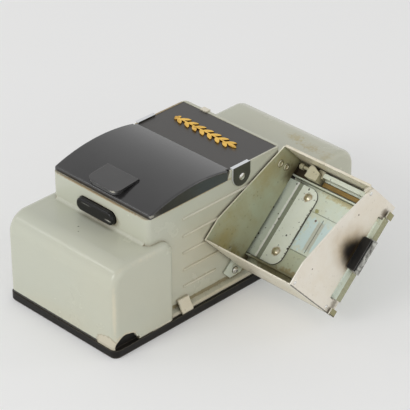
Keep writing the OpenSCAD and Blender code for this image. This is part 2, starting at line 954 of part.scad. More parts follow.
// Outline of an end plate, in (uphill, up) from the rim's low corner
module end_outline(low, slope) {
    polygon(concat([[0, -low], [0, 0], [rim_flat, 0]], slope, [[hopper_l, -low]]));
}

module hopper_inner_plate() {
    color(nickel)
        in_hopper() {
            difference() {
                along_x(hop_x0, in_x0)
                    end_outline(hopper_d, [[rim_end, -rim_drop], [hopper_l, -rim_drop - rim_corner]]);
                block([hop_x0 - 1, gate_lo - air, -hopper_d - 1], [in_x0 + 1, cam_hi, pass_top]);
                translate([hop_x0 - 1, 5, -23])
                    rotate([0, 90, 0])
                        cylinder(r = 0.8, h = 3);
            }
            for (p = [[hopper_l - 9.7, -22.6], [hopper_l - 9, -28.8]])
                translate([in_x0, p[0], p[1]])
                    rotate([0, 90, 0])
                        difference() {
                            cylinder(r = dimple_r, h = dimple_h);
                            translate([0, 0, dimple_h])
                                sphere(dimple_r - 0.9);
                        }
        }
}

module hopper_outer_plate() {
    color(nickel)
        in_hopper() {
            difference() {
                along_x(in_x1, hop_x1)
                    end_outline(hopper_d + strip_low, [[rim_flat + rim_bend, -rim_bend_drop],
                        [far_end, -far_drop], [hopper_l, -far_drop - far_corner]]);
                block([in_x1 - 1, ch_lo - 0.4, bed_top - 0.3], [hop_x1 + 1, ch_hi + 0.4, slot_top]);
            }
            for (v = [0, hopper_l - 8]) {
                block([hop_x1 - eps, v, -hopper_d - strip_low],
                    [hop_x1 + tab_reach, v + tab_run, -hopper_d - strip_low + sheet]);
                block([hop_x1 + tab_reach - sheet, v, -hopper_d - strip_low],
                    [hop_x1 + tab_reach, v + tab_run, -hopper_d + 1]);
            }
        }
}

module hopper_front_wall() {
    color(nickel)
        in_hopper() {
            block([in_x0, 0, -hopper_d], [in_x1, sheet, 0]);
            block([in_x0, sheet, -hopper_d], [in_x1, 3, -hopper_d + sheet]);
        }
}

module hopper_top_wall() {
    color(nickel)
        in_hopper() {
            block([in_x0, top_wall_v, -hopper_d], [in_x1, hopper_l, -rim_drop - 1]);
            block([in_x0, top_wall_v, -rim_drop - 1], [in_x1, hopper_l + 0.6, -rim_drop - 1 + sheet]);
            along_x(in_x1 - sheet, in_x1)
                polygon([[hopper_l - eps, -rim_drop - 1], [top_wall_v - ear_run + 2, -rim_drop + 1.8],
                    [top_wall_v - ear_run, -rim_drop - 5], [hopper_l - eps, -rim_drop - 11]]);
        }
}

module hopper_rivets() {
    color(chrome)
        in_hopper() {
            for (p = [[rim_end - 2.4, -far_drop - 1.9]])
                translate([hop_x1, p[0], p[1]])
                    rotate([0, 90, 0])
                        dome(1.3, 0.6);
            for (p = [[2.6, -3], [2.6, -40]])
                translate([hop_x1, p[0], p[1]])
                    rotate([0, 90, 0])
                        dome(1.1, 0.5);
        }
}

// Zinc bed with the two upright rails of the mounts' channel
module hopper_bed() {
    x0 = in_x0;
    x1 = in_x1;
    color(zinc)
        in_hopper() {
            block([x0, 3.2, bed_low], [x1, top_wall_v, bed_top]);
            block([x0, ch_lo - sheet, bed_top - eps], [x1, ch_lo, rail_top]);
            block([x0, ch_hi, bed_top - eps], [x1, ch_hi + sheet, rail_top]);
        }
}

// Dark fibre pad in the upper corner: it lies on the bed and closes the plate's slot
module corner_pad() {
    v0 = gate_hi + air;
    color(black)
        in_hopper() {
            block([hop_x0 - sheet, v0, bed_top], [block_x0 - 0.1, cam_hi, bed_top + pad_t]);
            block([hop_x0 - sheet, v0, bed_top], [hop_x0, cam_hi, pass_top + 0.6]);
        }
}

module upper_guide() {
    v = guide_v;
    v0 = v + air - 1.5;
    v1 = v + guide_reach;
    color(zinc)
        in_hopper()
            along_x(guide_x0, guide_x1)
                polygon([[v, bed_top], [v1, bed_top], [v1, bed_top + sheet],
                    [v + sheet, bed_top + sheet], [v + sheet, guide_top - sheet],
                    [v1, guide_top - sheet], [v1, guide_top], [v, guide_top], [v, rail_top],
                    [v0, rail_top], [v0, rail_top - sheet], [v, rail_top - sheet]]);
}

module bronze_strip() {
    color(bronze)
        in_hopper()
            along_x(guide_x0, guide_x1)
                polygon([[bronze_v0, rail_top - bronze_t], [bronze_v1 - bronze_t, rail_top - bronze_t],
                    [bronze_v1 - bronze_t, bed_top], [bronze_v1, bed_top], [bronze_v1, rail_top],
                    [bronze_v0, rail_top]]);
}

module stop_block() {
    v0 = ch_hi + sheet + 0.8;
    v1 = top_wall_v - 0.4;
    color(zinc)
        in_hopper() {
            translate([0, 0, bed_top])
                linear_extrude(height = block_top - bed_top)
                    polygon([[block_x0, v0], [block_x1, v0], [block_x1, v0 + 4.8],
                        [block_x1 - 5.8, v1], [block_x0 + 0.6, v1], [block_x0, v1 - 1.6]]);
            block([block_x1 - 3, v0 + 3, bed_top], [block_x1 + block_step, v1, block_top - 2.5]);
            translate([in_x0 + 2, v1 - 2.2, bed_top + 4.4])
                rotate([0, 90, 0]) {
                    cylinder(r = 1.1, h = block_x0 - in_x0);
                    cylinder(r = 1.9, h = 2.4);
                }
        }
}

module changer_plate() {
    color(zinc)
        in_hopper()
            difference() {
                union() {
                    block([slide_x0, slide_lo, bed_top], [slide_x1, slide_hi, slide_top]);
                    block([slide_x1 - sheet, slide_lo + 0.1, bed_top - flange_drop + slide_t],
                        [slide_x1, slide_hi + 1.7, slide_top]);
                }
                for (v = [win_v - 12, win_v + 12])
                    block([blade_x1 + 0.8, v, slide_top - groove_d],
                        [blade_x1 + 21, v + groove_w, slide_top + 1]);
                block([blade_x1 + 10, win_v - 10.4, slide_top - groove_d],
                    [blade_x1 + 10 + groove_w, win_v + 10.4, slide_top + 1]);
                for (v = [rivet_mid - rivet_half, rivet_mid + rivet_half])
                    translate([rivet_x, v, bed_top - 1])
                        cylinder(r = 1.2, h = 3);
            }
}

module pusher_blade() {
    z0 = slide_top;
    z1 = slide_top + blade_rise;
    v0 = slide_lo + 0.4;
    v1 = slide_hi - 1.4;
    r = blade_round;
    color(zinc)
        in_hopper()
            difference() {
                intersection() {
                    along_y(v0, v1)
                        polygon([[blade_x0, z1], [joggle_x, z1], [joggle_x + joggle_w, z0],
                            [blade_x1, z0], [blade_x1, z0 + blade_t],
                            [joggle_x + joggle_w + 0.3, z0 + blade_t], [joggle_x + 0.3, z1 + blade_t],
                            [blade_x0, z1 + blade_t]]);
                    translate([0, 0, z0 - 1])
                        linear_extrude(height = 6) {
                            translate([blade_x0 - 1, v0])
                                square([blade_x1 - blade_x0 + 1 - r, v1 - v0]);
                            translate([blade_x1 - r - 1, v0 + r])
                                square([r + 1, v1 - v0 - 2 * r]);
                            for (v = [v0 + r, v1 - r])
                                translate([blade_x1 - r, v])
                                    circle(r);
                        }
                }
                for (v = [rivet_mid - rivet_half, rivet_mid + rivet_half])
                    translate([rivet_x, v, z0 - 1])
                        cylinder(r = 1.2, h = 4);
            }
}

module blade_rivets() {
    color(brass)
        in_hopper()
            for (v = [rivet_mid - rivet_half, rivet_mid + rivet_half])
                translate([rivet_x, v, 0]) {
                    translate([0, 0, slide_top + blade_t])
                        dome(rivet_r, rivet_h);
                    translate([0, 0, bed_top + 0.1])
                        cylinder(r = 1.2 - fit_gap, h = slide_t + blade_t);
                }
}

module pull_knob() {
    x1 = knob_x0 + knob_w;
    color(black)
        in_hopper()
            difference() {
                translate([(knob_x0 + x1) / 2, knob_v0 + knob_l / 2, knob_top - knob_h])
                    linear_extrude(height = knob_h)
                        round_rect(knob_w, knob_l, 0.9);
                block([slide_x0, slide_lo, bed_top], [slide_x1 - eps, slide_hi, slide_top]);
                block([slide_x1 - sheet, slide_lo, bed_top - 20], [slide_x1, slide_hi, slide_top]);
                block([knob_x0 - 1, slide_lo, bed_top - 20], [slide_x1, slide_hi, bed_top + eps]);
            }
}

module knob_clip() {
    x1 = knob_x0 + knob_w;
    v0 = knob_v0;
    v1 = knob_v0 + knob_l;
    z1 = knob_top - 1.4;
    color(chrome)
        in_hopper() {
            block([x1, v0 - clip_t, z1 - clip_h], [x1 + clip_t, v1 + clip_t, z1]);
            for (v = [v0 - clip_t, v1])
                block([x1 - clip_back, v, z1 - clip_h], [x1 + eps, v + clip_t, z1]);
        }
}

// Channel inside the tower that takes one mount in front of the lamp
module slide_gate() {
    color(black)
        in_hopper()
            difference() {
                union() {
                    block([gate_x0, gate_lo, bed_low], [inner_x, gate_hi, bed_top]);
                    block([inner_x - eps, gate_lo, bed_low], [hop_x0 - 0.1, gate_hi, bed_top]);
                    block([gate_x0, gate_lo, bed_top - eps], [inner_x, ch_lo, slot_top]);
                    block([gate_x0, ch_hi, bed_top - eps], [inner_x, gate_hi, slide_top]);
                }
                translate([win_x, win_v, bed_low - 1])
                    linear_extrude(height = 4)
                        round_rect(frame_win, frame_win, 2);
            }
}

module diffuser() {
    color([0.95, 0.95, 0.92])
        in_hopper()
            block([win_x - diff_w / 2, win_v - diff_w / 2, diff_z],
                [win_x + diff_w / 2, win_v + diff_w / 2, bed_low]);
}

module reflector() {
    color(nickel)
        in_hopper()
            along_x(trough_x0, trough_x1)
                translate([win_v, diff_z])
                    difference() {
                        union() {
                            circle(trough_r);
                            translate([-trough_r - 1.6, -sheet])
                                square([2 * trough_r + 3.2, sheet]);
                        }
                        circle(trough_r - sheet);
                        translate([-2 * trough_r, 0])
                            square([4 * trough_r, 2 * trough_r]);
                    }
}

module lamp_bulb() {
    color([0.95, 0.95, 0.95, 0.5])
        in_hopper()
            translate([lamp_x, win_v, lamp_z])
                rotate([0, -90, 0]) {
                    sphere(bulb_r);
                    cylinder(r = 3.6, h = bulb_r + 3);
                }
}

module lamp_cap() {
    color(brass)
        in_hopper()
            translate([lamp_x - bulb_r - 3, win_v, lamp_z])
                rotate([0, -90, 0]) {
                    cylinder(r = 4.6, h = 8);
                    translate([0, 0, 8])
                        cylinder(r = 1.6, h = 1.2);
                }
}

module lamp_holder() {
    x1 = lamp_x - bulb_r - 5;
    color(black)
        in_hopper()
            difference() {
                union() {
                    translate([-inner_x, win_v, lamp_z])
                        rotate([0, 90, 0])
                            cylinder(r = 6.6, h = x1 + inner_x);
                    block([-inner_x, win_v - 10, lamp_z - 8], [-inner_x + 2, win_v + 10, lamp_z + 8]);
                }
                translate([x1 + 1, win_v, lamp_z])
                    rotate([0, -90, 0])
                        cylinder(r = 4.6 + fit_gap, h = 8.3);
            }
}

// Puts its children into the lens's tilted frame, local Z towards the eye
module in_lens() {
    translate([0, lens_y, lens_z])
        rotate([lens_turn, 0, 0])
            children();
}

module lens() {
    half = sqrt(lens_w * lens_w + lens_h * lens_h) / 2;
    rise = lens_t - 1.6;
    ball = (half * half + rise * rise) / (2 * rise);
    color([0.85, 0.92, 0.95, 0.4])
        in_lens()
            intersection() {
                translate([0, 0, -1])
                    linear_extrude(height = lens_t)
                        round_rect(lens_w, lens_h, 5);
                rotate_extrude($fn = 144)
                    intersection() {
                        translate([0, lens_t - 1 - ball])
                            circle(ball, $fn = 720);
                        translate([0, -1])
                            square([half + 2, lens_t]);
                    }
            }
}

module lens_frame() {
    h = lens_h + 2 * lens_lip;
    low_y = lens_y - frame_low * cos(lens_turn);
    low_z = lens_z - frame_low * sin(lens_turn);
    color(black) {
        in_lens()
            difference() {
                block([-frame_x, -frame_low, -frame_t], [frame_x, h / 2, 0.8]);
                translate([0, 0, -1])
                    linear_extrude(height = 4)
                        round_rect(lens_w + 2 * fit_gap, lens_h + 2 * fit_gap, 5);
                translate([0, 0, -frame_t - 1])
                    linear_extrude(height = frame_t + 2)
                        round_rect(lens_w - 3, lens_h - 3, 4);
            }
        block([-inner_x, tower_y0 + wall, low_z - apron_t], [inner_x, low_y + 2, low_z]);
    }
}

// Leaf springs on the foot plate, under the cells of the front box
module cell_springs() {
    color(brass)
        for (x = [-26, 0, 26])
            translate([x, 0, 0])
                along_x(-4, 4)
                    translate([y_nose + 16, plate_h])
                        polygon([[-8, 0], [8, 0], [8, 0.4], [-6, 0.4], [-1, 5.2], [6, 5.8], [6, 6.2],
                            [-1.2, 5.6], [-6.9, 0.4], [-8, 0.4]]);
}

module cell_top_strip() {
    z = box_h - wall;
    color(brass) {
        block([-34, y_nose + 13, z - 0.5], [34, y_nose + 19, z]);
        for (x = [-26, 0, 26])
            translate([x, y_nose + 16, z - 0.5])
                mirror([0, 0, 1])
                    dome(2.4, 1);
    }
}

base_plate();
body_shell();
rear_cover();
gold_sprig();
front_lid();
lid_tab();
lid_arms();
hinge_ears();
hinge_rivets();
switch_button();
switch_housing();
switch_blades();
side_bracket();
bracket_screw();
base_catches();
rear_catch();
hopper_inner_plate();
hopper_outer_plate();
hopper_front_wall();
hopper_top_wall();
hopper_rivets();
hopper_bed();
corner_pad();
upper_guide();
bronze_strip();
stop_block();
changer_plate();
pusher_blade();
blade_rivets();
pull_knob();
knob_clip();
slide_gate();
diffuser();
reflector();
lamp_bulb();
lamp_cap();
lamp_holder();
lens();
lens_frame();
cell_springs();
cell_top_strip();
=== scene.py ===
"""Table viewer for mounted slides: looks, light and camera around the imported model.

The case is a cream moulding on a black foot plate, with a black lid, gilt sprig and
chrome hinge ears. A tilted sheet-metal hopper with a pull-out changer stands at its side.
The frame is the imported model's: X towards the hopper, Y to the rear, Z up. Lengths are in
metres, and in millimetres where it says so.
"""

import json
import logging
import math
from abc import ABC, abstractmethod
from dataclasses import dataclass
from enum import Enum

import bpy
import numpy as np
from mathutils import Matrix, Vector

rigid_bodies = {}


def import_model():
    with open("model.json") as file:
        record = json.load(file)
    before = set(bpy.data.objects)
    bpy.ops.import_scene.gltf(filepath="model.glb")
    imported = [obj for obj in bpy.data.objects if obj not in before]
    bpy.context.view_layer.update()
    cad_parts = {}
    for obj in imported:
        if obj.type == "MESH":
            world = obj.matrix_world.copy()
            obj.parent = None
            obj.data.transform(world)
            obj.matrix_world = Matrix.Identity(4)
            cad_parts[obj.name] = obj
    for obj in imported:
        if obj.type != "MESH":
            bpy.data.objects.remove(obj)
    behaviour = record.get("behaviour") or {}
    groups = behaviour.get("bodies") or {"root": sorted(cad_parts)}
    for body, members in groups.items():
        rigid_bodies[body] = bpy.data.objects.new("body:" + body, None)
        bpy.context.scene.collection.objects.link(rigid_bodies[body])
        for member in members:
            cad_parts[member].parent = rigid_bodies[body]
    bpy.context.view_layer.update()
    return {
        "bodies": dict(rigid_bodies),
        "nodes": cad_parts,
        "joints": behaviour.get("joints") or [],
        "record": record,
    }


log = logging.getLogger("slide_viewer")

MM = 0.001

Colour = tuple[float, float, float]
Place = tuple[float, float, float]
Socket = bpy.types.NodeSocket
Value = Socket | float | Colour

ACROSS = (1.0, 0.0, 0.0)
UPRIGHT = (0.0, 0.0, 1.0)

# Colours of dirt and rust; the near-black one also paints shade and a dark reflection
INK = (0.012, 0.01, 0.008)
RUST = (0.26, 0.15, 0.05)
RUST_DOT = (0.16, 0.08, 0.03)


@dataclass(frozen=True)
class Slope:
    """The hopper's own frame: across the case, uphill along the floor, out of the floor.

    Attributes:
        tilt: angle of the floor, in radians.
        origin: the frame's origin in the object, in metres.
    """

    tilt: float = math.radians(43)
    origin: Place = (0.0, -23.3 * MM, 42 * MM)

    @property
    def uphill(self) -> Place:
        """Direction of the second axis."""
        return (0.0, math.cos(self.tilt), math.sin(self.tilt))

    @property
    def out(self) -> Place:
        """Direction of the third axis."""
        return (0.0, -math.sin(self.tilt), math.cos(self.tilt))

    def shift(self) -> Place:
        """The way back from the origin, along each of the three axes."""
        return tuple(-float(np.dot(self.origin, axis)) for axis in (ACROSS, self.uphill, self.out))


SLOPE = Slope()


class Maths(Enum):
    """Arithmetic on numbers."""

    ADD = "ADD"
    TIMES = "MULTIPLY"
    MOST = "MAXIMUM"
    SIZE = "ABSOLUTE"


class VectorMaths(Enum):
    """Arithmetic on vectors, and the name of the output that holds its result."""

    LESS = ("SUBTRACT", "Vector")
    TIMES = ("MULTIPLY", "Vector")
    SIZES = ("ABSOLUTE", "Vector")
    LENGTH = ("LENGTH", "Value")
    DOT = ("DOT_PRODUCT", "Value")


class Outline(Enum):
    """The shape of a mark."""

    ROUND = "round"
    BOX = "box"


@dataclass(frozen=True)
class Mark:
    """One stain, bare spot, painted highlight, painted shade or painted reflection on a finish.

    Attributes:
        at: its middle, in millimetres, in the finish's own frame.
        half: its half sizes, in millimetres; 0 lets it reach all the way along that axis.
        colour: its colour.
        share: how much of that colour covers the finish.
        soft: part of the half size over which it fades out.
        ragged: how far noise moves its outline, as a part of the half size.
        outline: round or straight-sided.
    """

    at: Place
    half: Place
    colour: Colour
    share: float = 0.7
    soft: float = 0.5
    ragged: float = 0.4
    outline: Outline = Outline.ROUND

    def scales(self) -> Place:
        """What turns metres into half sizes, along each axis."""
        return tuple(1 / (h * MM) if h else 0.0 for h in self.half)

    def raggedness(self) -> float:
        """Cycles per metre of its outline's noise: 1.4 in its least half size, 900 at most."""
        return min(1.4 * max(self.scales()), 900)


class Shader:
    """One node material, with short calls for the patterns that the finishes share.

    All patterns read Object coordinates, in metres.
    """

    def __init__(self, name: str) -> None:
        """Starts the material with a plain Principled surface.

        Args:
            name: the material's name.
        """
        self.material = bpy.data.materials.new(name)
        self.material.use_nodes = True
        self.tree = self.material.node_tree
        self.tree.nodes.clear()
        self.output = self.node("OutputMaterial")
        self.surface = self.node("BsdfPrincipled")
        self.tree.links.new(self.surface.outputs["BSDF"], self.output.inputs["Surface"])
        self.coords = self.node("TexCoord").outputs["Object"]

    def node(self, kind: str, **settings: object) -> bpy.types.ShaderNode:
        """Adds a node and sets its plain properties.

        Args:
            kind: the node's type without its "ShaderNode" prefix.
            **settings: property names and values.

        Returns:
            The new node.
        """
        made = self.tree.nodes.new("ShaderNode" + kind)
        for key, value in settings.items():
            setattr(made, key, value)
        return made

    def plug(self, socket: Socket, value: Value) -> None:
        """Links a socket, or sets its constant.

        Args:
            socket: the input to fill.
            value: another node's output, or a number, colour or vector.
        """
        if isinstance(value, Socket):
            self.tree.links.new(value, socket)
        elif socket.type == "RGBA":
            socket.default_value = (*value, 1.0)
        else:
            socket.default_value = value

    def feed(self, node: bpy.types.ShaderNode, **values: Value) -> bpy.types.NodeOutputs:
        """Fills a node's inputs.

        Args:
            node: the node.
            **values: socket names, with underscores for spaces, and their values.

        Returns:
            The node's outputs.
        """
        for key, value in values.items():
            self.plug(node.inputs[key.replace("_", " ")], value)
        return node.outputs

    def mapped(self, turn: Place, scale: Place = (1, 1, 1), shift: Place = (0, 0, 0)) -> Socket:
        """Coordinates scaled, then turned about the origin, then shifted.

        Args:
            turn: angles in radians about X, Y and Z.
            scale: factor along X, Y and Z.
            shift: what is added at the end, in metres.

        Returns:
            The mapped vector.
        """
        made = self.node("Mapping")
        return self.feed(made, Vector=self.coords, Rotation=turn, Scale=scale, Location=shift)["Vector"]

    def hopper(self) -> Socket:
        """Coordinates in the hopper's frame: across, uphill and out of the floor."""
        return self.mapped((-SLOPE.tilt, 0, 0), shift=SLOPE.shift())

    def noise(self, scale: float, detail: float = 4.0, rough: float = 0.55, warp: float = 0.0,
              vector: Socket | None = None) -> Socket:
        """Fractal noise from 0 to 1.

        Args:
            scale: cycles per metre.
            detail: number of octaves.
            rough: strength of the finer octaves.
            warp: distortion.
            vector: coordinates, the object's own by default.

        Returns:
            The noise value.
        """
        return self.feed(self.node("TexNoise"), Vector=vector or self.coords, Scale=scale,
                         Detail=detail, Roughness=rough, Distortion=warp)["Fac"]

    def cells(self, scale: float) -> Socket:
        """Distance to the nearest of many scattered points, in parts of their spacing.

        Args:
            scale: points per metre.

        Returns:
            The distance.
        """
        return self.feed(self.node("TexVoronoi"), Vector=self.coords, Scale=scale)["Distance"]

    def band(self, value: Value, low: float, high: float, start: float = 0.0,
             end: float = 1.0) -> Socket:
        """Carries a value smoothly over from one range to another and holds it outside.

        Args:
            value: the value that is read.
            low: where the change begins.
            high: where the change ends.
            start: result at low.
            end: result at high.

        Returns:
            The new value.
        """
        made = self.node("MapRange", interpolation_type="SMOOTHSTEP")
        return self.feed(made, Value=value, From_Min=low, From_Max=high, To_Min=start,
                         To_Max=end)["Result"]

    def maths(self, kind: Maths, a: Value, b: Value = 0.0) -> Socket:
        """Arithmetic on one or two numbers.

        Args:
            kind: what is done.
            a: first number.
            b: second number, where there is one.

        Returns:
            The result.
        """
        made = self.node("Math", operation=kind.value)
        self.plug(made.inputs[0], a)
        self.plug(made.inputs[1], b)
        return made.outputs["Value"]

    def times(self, a: Value, b: Value) -> Socket:
        """The product of two numbers."""
        return self.maths(Maths.TIMES, a, b)

    def vectors(self, kind: VectorMaths, a: Value, b: Value = (0, 0, 0)) -> Socket:
        """Arithmetic on one or two vectors.

        Args:
            kind: what is done.
            a: first vector.
            b: second vector, where there is one.

        Returns:
            The result, a vector or a number.
        """
        operation, output = kind.value
        made = self.node("VectorMath", operation=operation)
        self.plug(made.inputs[0], a)
        self.plug(made.inputs[1], b)
        return made.outputs[output]

    def parts(self, vector: Socket) -> tuple[Socket, Socket, Socket]:
        """The X, Y and Z of a vector."""
        return tuple(self.feed(self.node("SeparateXYZ"), Vector=vector))

    def mix(self, share: Value, a: Value, b: Value) -> Socket:
        """Mixes two colours.

        Args:
            share: share of the second colour.
            a: first colour.
            b: second colour.

        Returns:
            The mixed colour.
        """
        made = self.node("Mix", data_type="RGBA")
        self.plug(made.inputs[0], share)
        self.plug(made.inputs[6], a)
        self.plug(made.inputs[7], b)
        return made.outputs[2]

    def mark(self, colour: Value, mark: Mark, vector: Socket) -> Socket:
        """Lays one mark over a colour.

        The distance from the mark's middle is divided by its half sizes. A box takes the
        largest of the three parts, a round mark the length of all three. Noise added to that
        reach makes the outline ragged, and the mark fades out where the reach comes to 1.

        Args:
            colour: the colour below.
            mark: the mark.
            vector: the coordinates in which the mark lies.

        Returns:
            The new colour.
        """
        away = self.vectors(VectorMaths.LESS, vector, tuple(v * MM for v in mark.at))
        parts = self.vectors(VectorMaths.TIMES, away, mark.scales())
        if mark.outline is Outline.BOX:
            x, y, z = self.parts(self.vectors(VectorMaths.SIZES, parts))
            reach = self.maths(Maths.MOST, self.maths(Maths.MOST, x, y), z)
        else:
            reach = self.vectors(VectorMaths.LENGTH, parts)
        rough = self.noise(mark.raggedness(), 4, 0.6)
        ragged = self.band(rough, 0.25, 0.75, -mark.ragged / 2, mark.ragged / 2)
        reach = self.maths(Maths.ADD, reach, ragged)
        return self.mix(self.band(reach, 1 - mark.soft, 1.0, mark.share, 0.0), colour, mark.colour)

    def marked(self, colour: Value, marks: tuple[Mark, ...], vector: Socket | None = None) -> Value:
        """Lays several marks over a colour, the last one on top.

        Args:
            colour: the colour below.
            marks: the marks.
            vector: the coordinates in which they lie, the object's own by default.

        Returns:
            The new colour.
        """
        for mark in marks:
            colour = self.mark(colour, mark, vector or self.coords)
        return colour

    def facing(self, way: Place) -> Socket:
        """Tells faces that look along a direction, or against it, from the others.

        Args:
            way: the direction in the object, of length 1.

        Returns:
            1 on those faces, 0 on the others.
        """
        turn = self.node("VectorTransform", vector_type="NORMAL", convert_from="WORLD",
                         convert_to="OBJECT")
        self.plug(turn.inputs[0], self.node("NewGeometry").outputs["True Normal"])
        along = self.vectors(VectorMaths.DOT, turn.outputs[0], way)
        return self.band(self.maths(Maths.SIZE, along), 0.35, 0.65)

    def rounded(self, radius: float) -> Socket:
        """A normal that rolls over sharp edges, from the radius in metres before them."""
        return self.feed(self.node("Bevel", samples=4), Radius=radius)["Normal"]

    def edges(self, radius: float) -> Socket:
        """Finds sharp edges and corners, where the rounded normal leaves the true one.

        Args:
            radius: how far from the edge it reaches, in metres.

        Returns:
            1 on the edges, 0 on flats.
        """
        flat = self.node("NewGeometry").outputs["True Normal"]
        same = self.vectors(VectorMaths.DOT, self.rounded(radius), flat)
        return self.band(same, 0.82, 0.99, 1.0, 0.0)

    def hollows(self, distance: float) -> Socket:
        """Finds deep corners and slots.

        Args:
            distance: how near another surface has to be, in metres.

        Returns:
            1 in the hollows, 0 in the open.
        """
        made = self.node("AmbientOcclusion", samples=6)
        return self.band(self.feed(made, Distance=distance)["AO"], 0.35, 0.85, 1.0, 0.0)

    def relief(self, height: Socket, depth: float, strength: float,
               under: Socket | None = None) -> Socket:
        """A bumped normal.

        Args:
            height: the pattern, from 0 to 1.
            depth: its depth in metres.
            strength: share of the bump that is used.
            under: the normal that it is laid over.

        Returns:
            The new normal.
        """
        made = self.node("Bump")
        if under is not None:
            self.plug(made.inputs["Normal"], under)
        return self.feed(made, Strength=strength, Distance=depth, Height=height)["Normal"]

    def set(self, **values: Value) -> None:
        """Fills the surface's inputs, as feed does a node's."""
        self.feed(self.surface, **values)


@dataclass(frozen=True)
class Finish(ABC):
    """A surface finish that can be made a node material.

    Attributes:
        name: the material's name.
    """

    name: str

    @abstractmethod
    def material(self) -> bpy.types.Material:
        """Builds the finish."""


@dataclass(frozen=True)
class CreamMoulding(Finish):
    """Aged urea moulding: glossy, mottled, pale and yellowish at its edges from wear and a painted
    highlight, and stained in places.

    Attributes:
        body: the plain colour.
        warm: the yellowed colour.
        edge: the pale colour of the edges, laid on as wear and as a painted highlight.
        grime_and_shade: the dirt in corners, also painted there as shade, and the colour of the dust
            specks.
        gloss: the least roughness.
        marks: its stains, wear, painted highlights, painted shade and painted warm light, in the object's
            frame.
    """

    name: str = "cream_moulding"
    body: Colour = (0.545, 0.56, 0.465)
    warm: Colour = (0.585, 0.545, 0.4)
    edge: Colour = (0.7, 0.64, 0.48)
    grime_and_shade: Colour = (0.17, 0.14, 0.08)
    gloss: float = 0.16
    marks: tuple[Mark, ...] = ()

    def material(self) -> bpy.types.Material:
        """Builds the finish: clouds of yellow, edges lightened by wear and painted highlight, marks,
        corners darkened by dirt and painted shade, and dust specks.

        Returns:
            The material.
        """
        s = Shader(self.name)
        mottle = s.noise(38, 5, 0.6)
        cloud = s.noise(11, 3, 0.5)
        aged = s.mix(s.band(cloud, 0.35, 0.75, 0.0, 0.3), self.body, self.warm)
        # Edges lightened: wear, and a painted highlight along them
        worn_and_highlit = s.times(s.edges(1.4 * MM), s.band(mottle, 0.3, 0.7, 0.25, 0.8))
        aged = s.mix(worn_and_highlit, aged, self.edge)
        height = s.parts(s.coords)[2]
        foot = s.band(height, 5 * MM, 20 * MM, 0.4, 0.0)
        aged = s.mix(s.times(foot, s.band(mottle, 0.3, 0.7)), aged, self.warm)
        aged = s.marked(aged, self.marks)
        # Corners and slots darkened: dirt, and painted shade
        aged = s.mix(s.times(s.hollows(4 * MM), 0.65), aged, self.grime_and_shade)
        specks = s.band(s.cells(420), 0.02, 0.07, 0.5, 0.0)
        aged = s.mix(s.times(specks, s.band(s.noise(60), 0.5, 0.7)), aged, self.grime_and_shade)
        skin = s.relief(s.noise(260, 3, 0.5), 0.04 * MM, 0.35, s.rounded(0.35 * MM))
        s.set(Base_Color=aged,
              Roughness=s.band(mottle, 0.2, 0.8, self.gloss, self.gloss + 0.14),
              Normal=s.relief(s.noise(22, 2, 0.4), 0.3 * MM, 0.2, skin),
              Coat_Weight=0.15,
              Coat_Roughness=0.16)
        return s.material


@dataclass(frozen=True)
class BlackMoulding(Finish):
    """Polished black moulding with dust, fine scratches, and edges lightened by wear and a painted
    highlight; its tops are lighter than its sides, with dust and painted light.

    Attributes:
        body: the plain colour.
        dust_and_sheen: the colour of dust, of edges lightened by wear and a painted highlight, and of the
            lighter tops.
        gloss: the least roughness.
        dust_and_light_share: how much lighter faces that look up are, with dust and painted light, which
            leaves the sides darker.
        shine: strength of the reflection.
        marks: its marks, in the object's frame.
    """

    body: Colour = (0.01, 0.01, 0.011)
    dust_and_sheen: Colour = (0.22, 0.21, 0.2)
    gloss: float = 0.11
    dust_and_light_share: float = 0.085
    shine: float = 1.0
    marks: tuple[Mark, ...] = ()

    def material(self) -> bpy.types.Material:
        """Builds the finish: tops lighter than sides with hazy dust and painted light, dust grains, edges
        lightened by wear and painted highlight, and marks.

        Returns:
            The material.
        """
        s = Shader(self.name)
        haze = s.noise(30, 5, 0.6)
        scratch = s.noise(900, 2, 0.5, vector=s.mapped((0, 0, 0.5), (1, 0.04, 1)))
        grains = s.band(s.cells(900), 0.03, 0.09, 1.0, 0.0)
        # Faces that look up are lighter than the sides: dust, and painted light
        upward = s.band(s.facing(UPRIGHT), 0.0, 1.0, 0.02, self.dust_and_light_share)
        dusty_and_lit = s.times(s.band(haze, 0.3, 0.75, 0.6, 1.0), upward)
        colour = s.mix(dusty_and_lit, self.body, self.dust_and_sheen)
        colour = s.mix(s.times(grains, 0.15), colour, self.dust_and_sheen)
        # Edges lightened: wear, and a painted highlight
        rubbed_and_highlit = s.times(s.edges(0.8 * MM), s.band(haze, 0.35, 0.6, 0.12, 0.6))
        colour = s.mix(rubbed_and_highlit, colour, self.dust_and_sheen)
        colour = s.marked(colour, self.marks)
        skin = s.relief(scratch, 0.02 * MM, 0.3, s.rounded(0.3 * MM))
        s.set(Base_Color=colour,
              Roughness=s.band(haze, 0.25, 0.8, self.gloss, self.gloss + 0.14),
              Normal=s.relief(s.noise(45, 2, 0.4), 0.2 * MM, 0.25, skin),
              Specular_IOR_Level=self.shine)
        return s.material


@dataclass(frozen=True)
class CutEdge:
    """A pale or dark colour on a sheet's cut edges: a painted highlight where pale, painted shade where
    dark.

    Attributes:
        lies: the direction that the sheet's main faces look in.
        colour: the colour of the cut, a painted highlight or painted shade.
        share: how much of that colour covers the finish.
    """

    lies: Place
    colour: Colour
    share: float


